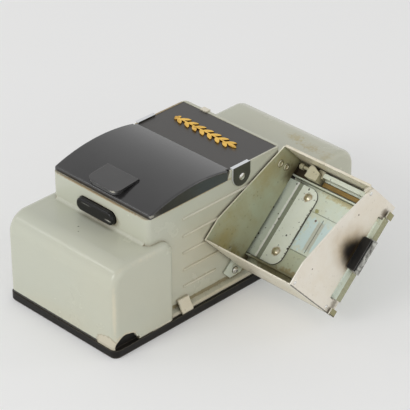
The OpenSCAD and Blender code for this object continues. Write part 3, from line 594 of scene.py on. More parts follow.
@dataclass(frozen=True)
class SheetMetal(Finish):
    """Plated sheet: brushed grain, cloudy stains, pits, corners tarnished and darkened with painted
    shade, and cut edges with a painted highlight or painted shade.

    Attributes:
        bright: the clean colour.
        stained: the colour of the clouds.
        dark: the colour of pits, and of corners darkened with dirt and painted shade.
        gloss: the least roughness.
        grain: roughness added by the brushed grain.
        stain_share: how much the clouds cover.
        metallic: how metallic the surface is.
        specks: how strong the pits are.
        cut: the painted highlight or painted shade on the cut edges, where they differ.
        cloud_scale: clouds per metre.
        marks: its marks, in the hopper's frame.
    """

    bright: Colour
    stained: Colour
    dark: Colour
    gloss: float = 0.34
    grain: float = 0.12
    stain_share: float = 0.6
    metallic: float = 0.35
    specks: float = 0.6
    cut: CutEdge | None = None
    cloud_scale: float = 55
    marks: tuple[Mark, ...] = ()

    def material(self) -> bpy.types.Material:
        """Builds the finish: clouds and blots, marks, corners darkened with dirt and painted shade, pits,
        and cut edges with a painted highlight or painted shade.

        Returns:
            The material.
        """
        s = Shader(self.name)
        grain = s.noise(1500, 2, 0.6, vector=s.mapped((-SLOPE.tilt, 0, 0), (0.05, 1, 1)))
        cloud = s.noise(self.cloud_scale, 6, 0.62, 0.4)
        blot = s.noise(2.6 * self.cloud_scale, 4, 0.6, 0.6)
        colour = s.mix(s.band(cloud, 0.35, 0.7, 0.0, self.stain_share), self.bright, self.stained)
        colour = s.mix(s.band(blot, 0.58, 0.78, 0.0, 0.5), colour, self.stained)
        colour = s.marked(colour, self.marks, s.hopper())
        # Corners darkened: dirt, and painted shade
        colour = s.mix(s.times(s.hollows(3 * MM), 0.6), colour, self.dark)
        pits = s.band(s.cells(380), 0.14, 0.26, 1.0, 0.0)
        pits = s.times(pits, s.band(blot, 0.48, 0.56, 0.0, self.specks))
        colour = s.mix(pits, colour, self.dark)
        # Cut edges: a painted highlight where the cut's colour is pale, painted shade where it is dark
        if self.cut is not None:
            on_edge = s.band(s.facing(self.cut.lies), 0.2, 0.8, 1.0, 0.0)
            colour = s.mix(s.times(on_edge, self.cut.share), colour, self.cut.colour)
        rough = s.maths(Maths.ADD, s.band(cloud, 0.25, 0.8, self.gloss, self.gloss + 0.18),
                        s.band(grain, 0.3, 0.7, 0.0, self.grain))
        wave = s.relief(s.noise(26, 2, 0.4), 1.2 * MM, 0.3, s.rounded(0.25 * MM))
        s.set(Base_Color=colour,
              Metallic=self.metallic,
              Roughness=rough,
              Normal=s.relief(grain, 0.03 * MM, 0.35, wave))
        return s.material


@dataclass(frozen=True)
class PlainMetal(Finish):
    """Small bright metal parts: chrome, gilt and brass, a little tarnished, with painted shade in their
    hollows.

    Attributes:
        bright: the clean colour.
        tarnish_and_shade: the colour of the tarnished places, also painted into the hollows as shade.
        gloss: the least roughness.
        tarnish_share: how much of the surface is tarnished.
        dents: depth of the uneven surface, in millimetres.
    """

    bright: Colour
    tarnish_and_shade: Colour
    gloss: float
    tarnish_share: float = 0.5
    dents: float = 0.03

    def material(self) -> bpy.types.Material:
        """Builds the finish: tarnished clouds, hollows tarnished and darkened with painted shade, and
        small dents.

        Returns:
            The material.
        """
        s = Shader(self.name)
        cloud = s.noise(180, 5, 0.6)
        colour = s.mix(s.band(cloud, 0.45, 0.75, 0.0, self.tarnish_share), self.bright, self.tarnish_and_shade)
        # Hollows darkened: tarnished, and painted shade
        colour = s.mix(s.times(s.hollows(2.5 * MM), 0.8), colour, self.tarnish_and_shade)
        s.set(Base_Color=colour,
              Metallic=1.0,
              Roughness=s.band(cloud, 0.3, 0.7, self.gloss, self.gloss + 0.15),
              Normal=s.relief(s.noise(320, 3, 0.5), self.dents * MM, 0.6, s.rounded(0.2 * MM)))
        return s.material


@dataclass(frozen=True)
class ClearGlass(Finish):
    """Clear pressed glass with a faint tint.

    Attributes:
        tint: its colour.
    """

    name: str = "clear_glass"
    tint: Colour = (0.93, 0.97, 0.96)

    def material(self) -> bpy.types.Material:
        """Builds the finish: clear, with a slight wave and a few dull places.

        Returns:
            The material.
        """
        s = Shader(self.name)
        s.set(Base_Color=self.tint,
              Transmission_Weight=1.0,
              IOR=1.5,
              Roughness=s.band(s.noise(80), 0.4, 0.8, 0.0, 0.06),
              Normal=s.relief(s.noise(60, 2), 0.1 * MM, 0.1))
        return s.material


@dataclass(frozen=True)
class OpalSheet(Finish):
    """Milky diffusing sheet.

    Attributes:
        body: the plain colour.
        aged: the yellowed colour.
    """

    name: str = "opal_sheet"
    body: Colour = (0.8, 0.79, 0.74)
    aged: Colour = (0.74, 0.69, 0.55)

    def material(self) -> bpy.types.Material:
        """Builds the finish: clouds of yellow on a half-matt sheet.

        Returns:
            The material.
        """
        s = Shader(self.name)
        s.set(Base_Color=s.mix(s.band(s.noise(50, 4), 0.4, 0.75), self.body, self.aged),
              Roughness=s.band(s.noise(90), 0.3, 0.7, 0.3, 0.45))
        return s.material


@dataclass(frozen=True)
class StudioPaper(Finish):
    """Pale seamless paper under the object.

    The camera and the reflections see some of the paper's own even glow, so the background is
    pale and still holds the shadow.

    Attributes:
        shade: the paper's colour.
        cloudy: the colour of its faint clouds.
        glow: the colour of its own glow.
        glow_share: how much of what is seen is that glow.
    """

    name: str = "studio_paper"
    shade: Colour = (0.93, 0.93, 0.925)
    cloudy: Colour = (0.7, 0.7, 0.69)
    glow: Colour = (0.95, 0.95, 0.945)
    glow_share: float = 0.2

    def material(self) -> bpy.types.Material:
        """Builds the finish: matt paper, mixed with its glow on camera and mirror rays.

        Returns:
            The material.
        """
        s = Shader(self.name)
        s.set(Base_Color=s.mix(s.band(s.noise(6, 2), 0.3, 0.7, 0.0, 0.02), self.shade, self.cloudy),
              Roughness=0.9,
              Specular_IOR_Level=0.1)
        even = s.feed(s.node("Emission"), Color=self.glow)["Emission"]
        rays = s.node("LightPath").outputs
        mirrored = s.maths(Maths.MOST, rays["Is Glossy Ray"], rays["Is Transmission Ray"])
        seen = s.maths(Maths.MOST, rays["Is Camera Ray"], mirrored)
        blend = s.node("MixShader")
        s.plug(blend.inputs[0], s.times(seen, self.glow_share))
        s.plug(blend.inputs[1], s.surface.outputs["BSDF"])
        s.plug(blend.inputs[2], even)
        s.plug(s.output.inputs["Surface"], blend.outputs["Shader"])
        return s.material


# Painted shade in the channel beside the changer's low rail, and a dark ring round the bracket's screw
FITTING_SHADE_AND_DIRT = (
    Mark((70, 4, -40), (31, 8, 6), (0.24, 0.2, 0.09), 0.8, 0.4, 0.5, Outline.BOX),
    Mark((38, -3.2, -37.8), (2, 2.5, 2.5), (0.05, 0.045, 0.03), 0.85, 0.3, 0.2),
)

# Rust and ink-dark dirt along the upper wall's edge, and a painted shadow along the foot of the front
# wall
UPPER_WALL = 69
WALL_DIRT_AND_SHADE = (
    Mark((39.3, UPPER_WALL, -14), (1.1, 2, 1.1), INK, 0.8, 0.4, 0.4),
    Mark((101, UPPER_WALL, -15.4), (1.3, 2, 1.0), INK, 0.8, 0.4, 0.5),
    Mark((95, UPPER_WALL, -14), (2.4, 2, 0.8), RUST, 0.6, 0.6, 0.8),
    Mark((62, UPPER_WALL, -13.6), (5, 2, 0.7), RUST, 0.6, 0.7, 1.2),
    Mark((47, UPPER_WALL, -13.6), (2, 2, 0.7), INK, 0.6, 0.6, 0.9),
    # Painted shadow along the front wall's foot
    Mark((70, 0, -44.4), (0, 3, 1.9), INK, 0.85, 0.3, 0.3, Outline.BOX),
)

# Finishes that several sub-assemblies wear
FOOT_BLACK = BlackMoulding("foot_black", (0.009, 0.008, 0.007), (0.15, 0.13, 0.1), gloss=0.35,
                           dust_and_light_share=0.06, shine=0.22)
CHROME = PlainMetal("chrome", (0.8, 0.8, 0.76), (0.34, 0.31, 0.24), gloss=0.12)
BRASS = PlainMetal("contact_brass", (0.8, 0.6, 0.3), (0.4, 0.27, 0.1), gloss=0.25)
ZINC = SheetMetal("zinc_plate", (0.76, 0.82, 0.73), (0.62, 0.62, 0.45), (0.1, 0.085, 0.04),
                  gloss=0.3, stain_share=0.5, marks=FITTING_SHADE_AND_DIRT)
WALL_NICKEL = SheetMetal("nickel_outside", (0.84, 0.79, 0.66), (0.66, 0.59, 0.42), (0.16, 0.13, 0.07),
                         gloss=0.3, grain=0.08, stain_share=0.45, marks=WALL_DIRT_AND_SHADE)


class Wardrobe:
    """Gives CAD nodes their finishes and builds each finish once."""

    def __init__(self, frame: dict) -> None:
        """Takes the nodes; no finish is built yet.
        """
        self.nodes = frame["nodes"]
        self.made: dict[Finish, bpy.types.Material] = {}

    def dress(self, finish: Finish, *names: str) -> None:
        """Puts one finish on CAD nodes.

        Args:
            finish: the finish.
            *names: the nodes.
        """
        if finish not in self.made:
            self.made[finish] = finish.material()
        for name in names:
            slots = self.nodes[name].data.materials
            slots.clear()
            slots.append(self.made[finish])
            log.info("%s: %s", name, finish.name)


@dataclass(frozen=True)
class Case:
    """The cream moulding on its foot plate, with the rear cover, sprig and catches.

    Attributes:
        side: X of the tower's right side, in millimetres like all of these.
        front: Y of the tower's front.
        rim: Z of the line where the lid's edge rests.
        box_top: Z of the end boxes' tops.
        box_front: Y of the front box's front.
        joint: Z of the joint with the foot plate.
        rib_crest: X of the ribs' crests.
        first_rib: Z of the lowest rib.
        rib_step: height from one rib to the next.
        ribs: Y of the middle and half length of each rib, the lowest first.
    """

    side: float = 37.4
    front: float = -64.0
    rim: float = 71.1
    box_top: float = 55.0
    box_front: float = -94.5
    joint: float = 5.2
    rib_crest: float = 38.1
    first_rib: float = 18.4
    rib_step: float = 10.7
    ribs: tuple[tuple[float, float], ...] = ((-26.2, 12.8), *4 * ((-13.5, 25.6),))

    def marks(self) -> tuple[Mark, ...]:
        """The moulding's stains, wear, painted highlights and painted shade, those on top last.

        Returns:
            The marks, in the object's frame.
        """
        box = Outline.BOX
        # Pale colour of the painted highlights along the front box's edges
        rubbed_and_highlit = (0.74, 0.67, 0.5)
        # Painted highlights along the ribs' crests
        crests = [Mark((self.rib_crest, y, self.first_rib + self.rib_step * i), (0.55, half, 0.85),
                       (0.74, 0.71, 0.6), 0.7, 0.4, 0.1, box) for i, (y, half) in enumerate(self.ribs)]
        return (
            # Brown stains on the rear box and on the tower's left rim
            Mark((12, 77, self.box_top), (9, 5, 2), (0.46, 0.38, 0.17), 0.55, 0.9, 0.9),
            Mark((26, 74, self.box_top), (12, 5, 2), (0.44, 0.35, 0.15), 0.5, 0.9, 0.9),
            Mark((39.5, 72, self.box_top), (5, 7, 3), (0.5, 0.43, 0.24), 0.45, 0.9, 0.9),
            Mark((-37, 16, 76), (2.2, 24, 2.5), (0.3, 0.18, 0.05), 0.75, 0.5, 0.5),
            # Dirt under the lid's front and side edges
            Mark((0, self.front + 0.4, self.rim), (42, 1.2, 0.7), (0.36, 0.22, 0.08), 0.7, 0.5, 0.5, box),
            Mark((self.side, -30, self.rim), (1.0, 34, 0.8), (0.4, 0.27, 0.1), 0.7, 0.5, 0.5, box),
            # Dirt and painted shade in the ledge's corner, and a painted highlight along the ledge's edge
            Mark((self.side, -8, 8.7), (1.4, 62, 1.5), (0.22, 0.17, 0.07), 0.8, 0.4, 0.3, box),
            Mark((41, -8, 5.9), (2.4, 62, 0.7), (0.8, 0.74, 0.6), 0.8, 0.4, 0.3, box),
            # Dark ring round the button: painted shadow, with some dirt
            Mark((-1.0, self.front, 60.6), (18.0, 2, 6.4), (0.16, 0.1, 0.03), 0.85, 0.35, 0.15),
            # Black joint with the foot plate, and the front box's yellowed rear edge
            Mark((0, self.box_front - 1.5, self.joint), (0, 3.2, 1.8), (0.016, 0.015, 0.013), 0.97, 0.15,
                 0.1, box),
            Mark((0, -80, self.joint), (0, 16, 0.7), (0.03, 0.026, 0.02), 0.9, 0.3, 0.2, box),
            Mark((42, -49.6, 30), (3, 1.3, 26), (0.62, 0.55, 0.36), 0.7, 0.5, 0.4, box),
            *crests,
            # Two specks on the front box's top
            Mark((-4.3, -75.7, self.box_top), (0.7, 0.7, 1), (0.08, 0.08, 0.07), 0.8, 0.5, 0.4),
            Mark((-0.6, -79, self.box_top), (0.5, 0.5, 1), (0.1, 0.1, 0.08), 0.7, 0.5, 0.4),
            # Yellow above the chip, and painted highlights along the front box's upright and top edges
            Mark((42.5, -86, 10), (2, 9, 4.5), (0.66, 0.52, 0.34), 0.6, 0.6, 0.5),
            Mark((41.4, -93, 28), (1.7, 1.7, 25), rubbed_and_highlit, 0.5, 0.8, 0.3),
            Mark((40.7, -71, 52.6), (2.0, 23, 2.0), rubbed_and_highlit, 0.5, 0.8, 0.3),
            Mark((0, -92.2, 52.6), (40, 2.0, 2.0), (0.72, 0.68, 0.54), 0.4, 0.8, 0.3),
            # Crack beside the chip, and the pale piece inside it
            Mark((36, self.box_front, 7), (8.6, 4, 6.4), (0.34, 0.26, 0.15), 0.55, 0.14, 0.25),
            Mark((36, self.box_front, 6.6), (8.0, 4, 6.0), (0.68, 0.63, 0.5), 0.7, 0.12, 0.25),
            # Painted warm light on the tower's side
            Mark((38, -20, 40), (2, 48, 34), (0.55, 0.49, 0.33), 0.5, 0.9, 0.12),
        )

    def build(self, wardrobe: Wardrobe) -> None:
        """Dresses the case.

        Args:
            wardrobe: puts the finishes on.
        """
        cover = BlackMoulding("cover_black", (0.045, 0.042, 0.04), (0.2, 0.19, 0.17), gloss=0.28,
                              dust_and_light_share=0.14, shine=0.5)
        gilt = PlainMetal("gilt", (1.0, 0.62, 0.13), (0.34, 0.15, 0.01), gloss=0.14,
                          tarnish_share=0.85, dents=0.5)
        wardrobe.dress(CreamMoulding(marks=self.marks()), "body_shell")
        wardrobe.dress(FOOT_BLACK, "base_plate")
        wardrobe.dress(cover, "rear_cover")
        wardrobe.dress(WALL_NICKEL, "base_catches", "rear_catch")
        wardrobe.dress(gilt, "gold_sprig")


@dataclass(frozen=True)
class Lid:
    """The black lid with its finger tab, arms and chrome hinge ears.

    Attributes:
        corner: the lid's right front corner, in millimetres like the other two.
        tab_lip: where a highlight is painted on the tab's curled lip.
        pit: a dark pit in the arch.
    """

    corner: Place = (37.4, -61, 72.6)
    tab_lip: Place = (9.5, -62.6, 76.2)
    pit: Place = (-8, -38, 82)

    def marks(self) -> tuple[Mark, ...]:
        """The lid's corner with a painted highlight, its pit and two pale grains of dust.

        Returns:
            The marks, in the object's frame.
        """
        return (
            # Painted highlight on the lid's right front corner
            Mark(self.corner, (1.2, 2.2, 1.0), (0.55, 0.52, 0.42), 0.5, 0.6, 0.6),
            Mark(self.pit, (0.5, 0.5, 2), (0.004, 0.004, 0.004), 0.9, 0.5, 0.4),
            Mark((14, -46, 80), (0.6, 0.6, 3), (0.1, 0.1, 0.09), 0.7, 0.5, 0.4),
            Mark((22, -30, 82), (0.5, 0.5, 2), (0.1, 0.1, 0.09), 0.7, 0.5, 0.4),
        )

    def build(self, wardrobe: Wardrobe) -> None:
        """Dresses the lid and its hinge.

        Args:
            wardrobe: puts the finishes on.
        """
        # Painted highlight on the tab's curled lip
        lip = Mark(self.tab_lip, (3.2, 1.2, 0.9), (0.55, 0.53, 0.44), 0.7, 0.5, 0.6)
        # The ear's dark faces are a painted reflection of dark surroundings; their pale cut edges a
        # painted highlight
        ear = SheetMetal("ear_chrome", (0.06, 0.06, 0.045), (0.045, 0.045, 0.03), (0.02, 0.02, 0.015),
                         gloss=0.3, cut=CutEdge(ACROSS, (0.86, 0.88, 0.9), 0.9))
        wardrobe.dress(BlackMoulding("black_moulding", marks=self.marks()), "front_lid")
        wardrobe.dress(BlackMoulding("tab_black", dust_and_light_share=0.15, marks=(lip,)), "lid_tab")
        wardrobe.dress(ZINC, "lid_arms")
        wardrobe.dress(ear, "hinge_ears")
        wardrobe.dress(CHROME, "hinge_rivets")


@dataclass(frozen=True)
class Switch:
    """The oblong button and the contacts behind it.

    Attributes:
        low_glint: the bright place at the button's low right end, in millimetres.
        high_glint: the fainter one along its upper edge, in millimetres too.
    """

    low_glint: Place = (9.5, -68, 60.6)
    high_glint: Place = (-8, -68, 63.4)

    def build(self, wardrobe: Wardrobe) -> None:
        """Dresses the switch.

        Args:
            wardrobe: puts the finishes on.
        """
        glints = (Mark(self.low_glint, (3.0, 4, 0.6), (0.55, 0.54, 0.48), 0.75, 0.7, 0.6),
                  Mark(self.high_glint, (5.5, 4, 0.4), (0.25, 0.25, 0.23), 0.6, 0.7, 0.6))
        black = BlackMoulding("button_black", (0.005, 0.005, 0.005), gloss=0.08, dust_and_light_share=0.02,
                              shine=0.3, marks=glints)
        wardrobe.dress(black, "switch_button")
        wardrobe.dress(FOOT_BLACK, "switch_housing")
        wardrobe.dress(BRASS, "switch_blades")


@dataclass(frozen=True)
class Hopper:
    """The tilted sheet-metal hopper and its fixed fittings.

    Places are across, uphill and out of the floor, in millimetres, in the hopper's frame.

    Attributes:
        inner: how far across the inner plate stands.
        outer: how far across the outer plate stands.
        knob: uphill place of the knob's middle, round which its painted reflection and a brown halo lie.
        dents: uphill and outward place of the inner plate's two round dents.
        rust_dots: the same of the outer plate's small rust spots, and their half size.
    """

    inner: float = 39.0
    outer: float = 101.0
    knob: float = 35.0
    dents: tuple[tuple[float, float], ...] = ((59.1, -22.6), (59.8, -28.8))
    rust_dots: tuple[tuple[float, float, float], ...] = ((52.4, -21.8, 0.8), (13.9, -10.2, 0.7))

    def inner_marks(self) -> tuple[Mark, ...]:
        """The inner plate's clouds, painted shade in two corners, and its dents: dark rings of painted
        shade, pale middles.

        Returns:
            The marks, in the hopper's frame.
        """
        x = self.inner
        dents = []
        for (uphill, out), middle in zip(self.dents, ((0.58, 0.53, 0.33), (0.48, 0.42, 0.24))):
            # Dark ring of painted shade round each dent, then its paler middle
            dents.append(Mark((x, uphill, out), (0, 2.7, 2.7), (0.12, 0.1, 0.05), 0.75, 0.3, 0.1))
            dents.append(Mark((x, uphill - 0.3, out + 0.2), (0, 1.7, 1.7), middle, 0.8, 0.4, 0.1))
        return (
            Mark((x, 38, -26), (0, 20, 13), (0.52, 0.59, 0.46), 0.6, 0.9, 0.6),
            Mark((x, 50, -18), (0, 18, 14), (0.44, 0.37, 0.17), 0.6, 0.9, 0.7),
            Mark((x, 6, -12), (0, 16, 16), (0.5, 0.42, 0.18), 0.75, 0.9, 0.6),
            Mark((x, 5, -27), (0, 6, 10), (0.34, 0.26, 0.08), 0.6, 0.8, 0.9),
            # Painted shade in the high corner over the slot, and in the low corner by the floor
            Mark((x, 59, -36), (0, 9, 10), (0.09, 0.06, 0.02), 0.85, 0.9, 0.4),
            Mark((x, 4, -40), (0, 8, 6), (0.09, 0.06, 0.02), 0.8, 0.8, 0.5),
            *dents,
        )

    def outer_marks(self) -> tuple[Mark, ...]:
        """The outer plate's painted reflection of the knob in a brown halo, dirt at the slot's ends,
        painted shade on its end tabs and low edge, and rust.

        Returns:
            The marks, in the hopper's frame.
        """
        x = self.outer
        dots = [Mark((x, uphill, out), (0, half, half), RUST_DOT, 0.8, 0.6, 0.4)
                for uphill, out, half in self.rust_dots]
        return (
            # A wide brown halo under a black middle, which is the knob's painted reflection
            Mark((x, self.knob + 1, -38), (0, 16, 33), (0.45, 0.29, 0.09), 0.85, 0.9, 0.2),
            Mark((x, self.knob, -37), (0, 10.8, 18.5), INK, 0.99, 0.65, 0.12),
            # Dirt at both ends of the slot, and painted shade on the end tabs
            Mark((x, 62.5, -42), (0, 4, 4), (0.13, 0.09, 0.05), 0.7, 0.9, 0.6),
            Mark((x, 7, -45), (0, 5, 4), (0.14, 0.11, 0.06), 0.7, 0.9, 0.6),
            Mark((103.7, self.knob, -46), (1.7, 0, 0), (0.27, 0.25, 0.1), 0.9, 0.2, 0.1, Outline.BOX),
            # Painted shade along the low edge, rust at the high corner and two rust spots
            Mark((x, -0.2, -22), (0, 1.0, 0), INK, 0.8, 0.4, 0.3, Outline.BOX),
            Mark((x, 66.6, -17.5), (0, 2.2, 2.2), RUST, 0.7, 0.5, 0.3),
            *dots,
        )

    def build(self, wardrobe: Wardrobe) -> None:
        """Dresses the hopper.

        Args:
            wardrobe: puts the finishes on.
        """
        # The pale cut edges of both plates are a painted highlight
        inside = SheetMetal("nickel_inside", (0.52, 0.54, 0.39), (0.46, 0.43, 0.24), (0.08, 0.06, 0.025),
                            specks=0.3, cut=CutEdge(ACROSS, (1.0, 0.96, 0.79), 1.0),
                            marks=self.inner_marks())
        plate = SheetMetal("nickel_plate", (0.87, 0.82, 0.72), (0.8, 0.72, 0.58), (0.16, 0.11, 0.05),
                           grain=0.08, stain_share=0.5, metallic=0.3, specks=0.1,
                           cut=CutEdge(ACROSS, (0.93, 0.9, 0.8), 0.8), marks=self.outer_marks())
        block = SheetMetal("nickel_block", (0.66, 0.63, 0.48), (0.55, 0.51, 0.33), (0.1, 0.08, 0.04))
        bronze = SheetMetal("bronze_strip", (0.3, 0.19, 0.05), (0.15, 0.1, 0.03), (0.05, 0.03, 0.01),
                            gloss=0.35)
        # Dark pad in the shaded corner by the stop block: its own colour, and painted shade
        fibre_and_shade = BlackMoulding("fibre_pad", (0.06, 0.045, 0.028), (0.16, 0.12, 0.07), gloss=0.6,
                              dust_and_light_share=0.5, shine=0.2)
        wardrobe.dress(inside, "hopper_inner_plate")
        wardrobe.dress(plate, "hopper_outer_plate")
        wardrobe.dress(WALL_NICKEL, "hopper_front_wall", "hopper_top_wall")
        wardrobe.dress(ZINC, "hopper_bed", "upper_guide", "side_bracket")
        wardrobe.dress(block, "stop_block")
        wardrobe.dress(bronze, "bronze_strip")
        wardrobe.dress(fibre_and_shade, "corner_pad")
        wardrobe.dress(CHROME, "hopper_rivets", "bracket_screw")


@dataclass(frozen=True)
class Changer:
    """The pull-out changer with its blade, rivets and knob.

    Places are across, uphill and out of the floor, in millimetres, in the hopper's frame.

    Attributes:
        middle: uphill place of the changer's middle.
        plate: the plate's place out of the floor.
        blade: the blade's place out of the floor.
        joggle: how far across the blade steps up.
        rivets: across, uphill place and rust ring of each blade rivet.
        flange: how far across the outer flange stands.
    """

    middle: float = 33.0
    plate: float = -41.0
    blade: float = -40.0
    joggle: float = 46.4
    rivets: tuple[Place, ...] = ((54.3, 51.35, 3.2), (54.3, 16.65, 3.4))
    flange: float = 105.5

    def plate_marks(self) -> tuple[Mark, ...]:
        """The plate's window of clean metal, its dull end, line, rust and painted shade on the flange.

        Returns:
            The marks, in the hopper's frame.
        """
        mid, z, box = self.middle, self.plate, Outline.BOX
        return (
            Mark((78, mid, z), (20, 10.4, 3), (0.7, 0.9, 0.95), 0.6, 0.3, 0.5, box),
            Mark((76, 12, z), (25, 10.3, 3), (0.5, 0.53, 0.36), 0.7, 0.12, 0.1, box),
            Mark((70, 9, z), (14, 4, 3), (0.36, 0.26, 0.09), 0.7, 0.8, 0.9),
            Mark((70.6, mid, z), (2.6, 10.4, 3), (0.6, 0.58, 0.46), 0.75, 0.3, 0.1, box),
            Mark((80, 57.4, z), (24, 2.4, 3), (0.55, 0.43, 0.14), 0.65, 0.7, 0.6, box),
            Mark((63.7, 46.8, z), (1.9, 1.5, 3), (0.38, 0.36, 0.12), 0.85, 0.5, 0.5),
            Mark((66.3, 41.7, z), (0.9, 0.9, 3), (0.12, 0.05, 0.02), 0.9, 0.5, 0.3),
            # Painted shade on the flange's outer face
            Mark((self.flange, 35, z), (1.7, 0, 0), (0.3, 0.29, 0.14), 0.85, 0.2, 0.1, box),
        )

    def blade_marks(self) -> tuple[Mark, ...]:
        """The blade's duller low part, its joggle with painted shade on the slope and a painted highlight
        along the ridge, and its dirt.

        Returns:
            The marks, in the hopper's frame.
        """
        mid, z, box = self.middle, self.blade, Outline.BOX
        rings = [Mark((x, uphill, z), (ring, ring, 3), (0.36, 0.22, 0.07), 0.85, 0.4, 0.3)
                 for x, uphill, ring in self.rivets]
        return (
            Mark((35, mid, z), (9.4, 40, 3), (0.64, 0.71, 0.62), 0.8, 0.1, 0.1, box),
            # Painted highlight along the joggle's ridge, then painted shade on its slope
            Mark((self.joggle - 1.6, mid, z), (0.75, 40, 3), (1.0, 1.0, 0.97), 0.95, 0.2, 0.1, box),
            Mark((self.joggle, mid, z), (1.25, 40, 3), (0.19, 0.21, 0.13), 0.92, 0.15, 0.1, box),
            Mark((26, mid, z), (0.7, 40, 3), (0.1, 0.09, 0.06), 0.8, 0.3, 0.1, box),
            *rings,
            Mark((60.4, mid, z), (0.55, 18, 3), (0.06, 0.05, 0.03), 0.8, 0.5, 1.1, box),
        )

    def build(self, wardrobe: Wardrobe) -> None:
        """Dresses the changer.

        Args:
            wardrobe: puts the finishes on.
        """
        # The plate's dark cut edges are painted shade
        plate = SheetMetal("zinc_floor", (0.78, 0.87, 0.78), (0.76, 0.77, 0.57), (0.1, 0.085, 0.04),
                           metallic=0.2, specks=0.2, cut=CutEdge(SLOPE.out, (0.3, 0.28, 0.17), 0.4),
                           marks=self.plate_marks())
        # The blade's dark cut edges are painted shade in the gaps round it
        blade = SheetMetal("zinc_blade", (0.93, 0.98, 0.88), (0.84, 0.88, 0.74), (0.04, 0.035, 0.02),
                           stain_share=0.5, metallic=0.2, specks=1.0,
                           cut=CutEdge(SLOPE.out, (0.05, 0.04, 0.025), 0.9), marks=self.blade_marks())
        rivet = PlainMetal("rivet_zinc", (0.72, 0.66, 0.5), (0.5, 0.34, 0.13), gloss=0.3,
                           tarnish_share=0.7)
        knob = BlackMoulding("knob_black", (0.008, 0.008, 0.008), gloss=0.35, dust_and_light_share=0.04, shine=0.3)
        clip = SheetMetal("clip_steel", (0.6, 0.6, 0.55), (0.07, 0.065, 0.055), (0.02, 0.02, 0.015),
                          gloss=0.3, grain=0.1, stain_share=1.0, cloud_scale=260)
        wardrobe.dress(plate, "changer_plate")
        wardrobe.dress(blade, "pusher_blade")
        wardrobe.dress(rivet, "blade_rivets")
        wardrobe.dress(knob, "pull_knob")
        wardrobe.dress(clip, "knob_clip")


@dataclass(frozen=True)
class Optics:
    """The magnifier, the lit slide gate and the dry-cell contacts, all inside the case.

    Attributes:
        glass: what the magnifier and the bulb are made of.
        opal: what the diffuser is made of.
    """

    glass: Finish = ClearGlass()
    opal: Finish = OpalSheet()

    def build(self, wardrobe: Wardrobe) -> None:
        """Dresses the inside.

        Args:
            wardrobe: puts the finishes on.
        """
        wardrobe.dress(FOOT_BLACK, "lens_frame", "slide_gate", "lamp_holder")
        wardrobe.dress(self.glass, "lens", "lamp_bulb")
        wardrobe.dress(self.opal, "diffuser")
        wardrobe.dress(WALL_NICKEL, "reflector")
        wardrobe.dress(BRASS, "lamp_cap", "cell_springs", "cell_top_strip")


@dataclass(frozen=True)
class Lamp:
    """One soft round studio lamp.

    Attributes:
        name: its name.
        at: where it hangs.
        size: its diameter.
        power: its power in watts.
    """

    name: str
    at: Place
    size: float
    power: float

    def hang(self, target: Place) -> None:
        """Hangs the lamp, turned to a target.

        Args:
            target: the point that it shines at.
        """
        data = bpy.data.lights.new(self.name, "AREA")
        data.shape = "DISK"
        data.size = self.size
        data.energy = self.power
        lamp = bpy.data.objects.new(self.name, data)
        lamp.location = self.at
        lamp.rotation_euler = (Vector(target) - Vector(self.at)).to_track_quat("-Z", "Y").to_euler()
        bpy.context.scene.collection.objects.link(lamp)


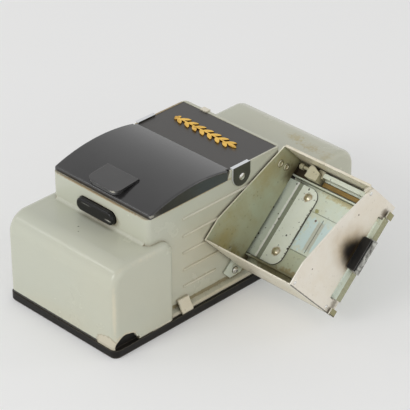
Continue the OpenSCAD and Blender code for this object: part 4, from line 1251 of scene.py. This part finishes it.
@dataclass(frozen=True)
class Studio:
    """Seamless paper, soft lamps and the camera at the photograph's place.

    Attributes:
        camera_at: the camera's place.
        azimuth: its angle round the object, in degrees, 0 in front.
        elevation: its angle above the floor.
        roll: how far the picture is turned.
        focal: the lens, in millimetres.
        sensor: the sensor's width, in millimetres.
        paper_size: the floor's width.
        paper_cells: the floor's faces along each side.
        heights: sine of the angle above the horizon at which the sky's fade starts and ends.
        sky: the sky's strength at these two.
        target: the point that the lamps shine at.
        lamps: the lamps.
    """

    camera_at: Place = (0.7218, -0.7038, 0.6481)
    azimuth: float = 45.1
    elevation: float = 31.2
    roll: float = -0.2
    focal: float = 185.3
    sensor: float = 36.0
    paper_size: float = 6.0
    paper_cells: int = 2
    heights: tuple[float, float] = (0.1, 0.95)
    sky: tuple[float, float] = (1.03, 0.46)
    target: Place = (0.0, 0.0, 0.03)
    lamps: tuple[Lamp, ...] = (
        Lamp("key_front", (-0.2, -1.5, 0.95), 0.7, 6.6),
        Lamp("fill_right", (1.5, -0.45, 0.75), 0.4, 0.9),
        Lamp("glint_left", (-1.2, -1.0, 1.25), 0.3, 0.8),
        Lamp("glint_right", (1.0, 1.2, 1.25), 0.3, 1.2),
    )

    def paper(self) -> None:
        """Lays the floor: a flat square grid of points at height 0, each four one face."""
        half = self.paper_size / 2
        line = np.linspace(-half, half, self.paper_cells + 1)
        x, y = np.meshgrid(line, line, indexing="ij")
        points = np.stack([x, y, np.zeros_like(x)], -1).reshape(-1, 3)
        number = np.arange(len(points)).reshape(x.shape)
        corners = [number[:-1, :-1], number[1:, :-1], number[1:, 1:], number[:-1, 1:]]
        faces = np.stack(corners, -1).reshape(-1, 4)
        mesh = bpy.data.meshes.new("studio_floor")
        mesh.from_pydata(points.tolist(), [], faces.tolist())
        mesh.materials.append(StudioPaper().material())
        floor = bpy.data.objects.new("studio_floor", mesh)
        bpy.context.scene.collection.objects.link(floor)

    def air(self) -> None:
        """Sets the even world light, which fades from the horizon to the top of the sky."""
        world = bpy.data.worlds.new("studio_air")
        world.use_nodes = True
        nodes, links = world.node_tree.nodes, world.node_tree.links
        back = nodes["Background"]
        back.inputs["Color"].default_value = (1, 1, 1, 1)
        height = nodes.new("ShaderNodeSeparateXYZ")
        links.new(nodes.new("ShaderNodeTexCoord").outputs["Generated"], height.inputs[0])
        fade = nodes.new("ShaderNodeMapRange")
        links.new(height.outputs["Z"], fade.inputs["Value"])
        for key, number in zip(("From Min", "From Max", "To Min", "To Max"), (*self.heights, *self.sky)):
            fade.inputs[key].default_value = number
        links.new(fade.outputs["Result"], back.inputs["Strength"])
        bpy.context.scene.world = world

    def aim(self) -> None:
        """Places the camera; its back axis points from the object to it, and it rolls about that."""
        a, e, r = (math.radians(v) for v in (self.azimuth, self.elevation, self.roll))
        back = Vector((math.sin(a) * math.cos(e), -math.cos(a) * math.cos(e), math.sin(e)))
        right = Vector(UPRIGHT).cross(back).normalized()
        up = back.cross(right)
        across = right * math.cos(r) + up * math.sin(r)
        upright = up * math.cos(r) - right * math.sin(r)
        data = bpy.data.cameras.new("photo_view")
        data.lens = self.focal
        data.sensor_width = self.sensor
        data.clip_end = 20
        camera = bpy.data.objects.new("photo_view", data)
        turned = Matrix((across, upright, back)).transposed()
        camera.matrix_world = Matrix.Translation(self.camera_at) @ turned.to_4x4()
        bpy.context.scene.collection.objects.link(camera)
        bpy.context.scene.camera = camera

    def build(self) -> None:
        """Builds the studio."""
        self.paper()
        for lamp in self.lamps:
            lamp.hang(self.target)
        self.air()
        self.aim()
        bpy.context.scene.view_settings.view_transform = "Standard"
        log.info("studio: floor, %d lamps, sky and camera", len(self.lamps))


def main() -> None:
    """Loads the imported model, dresses it and sets the studio."""
    logging.basicConfig(level=logging.INFO, format="%(name)s: %(message)s")
    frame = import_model()
    wardrobe = Wardrobe(frame)
    for part in (Case, Lid, Switch, Hopper, Changer, Optics):
        part().build(wardrobe)
    Studio().build()


if __name__ == "__main__":
    main()
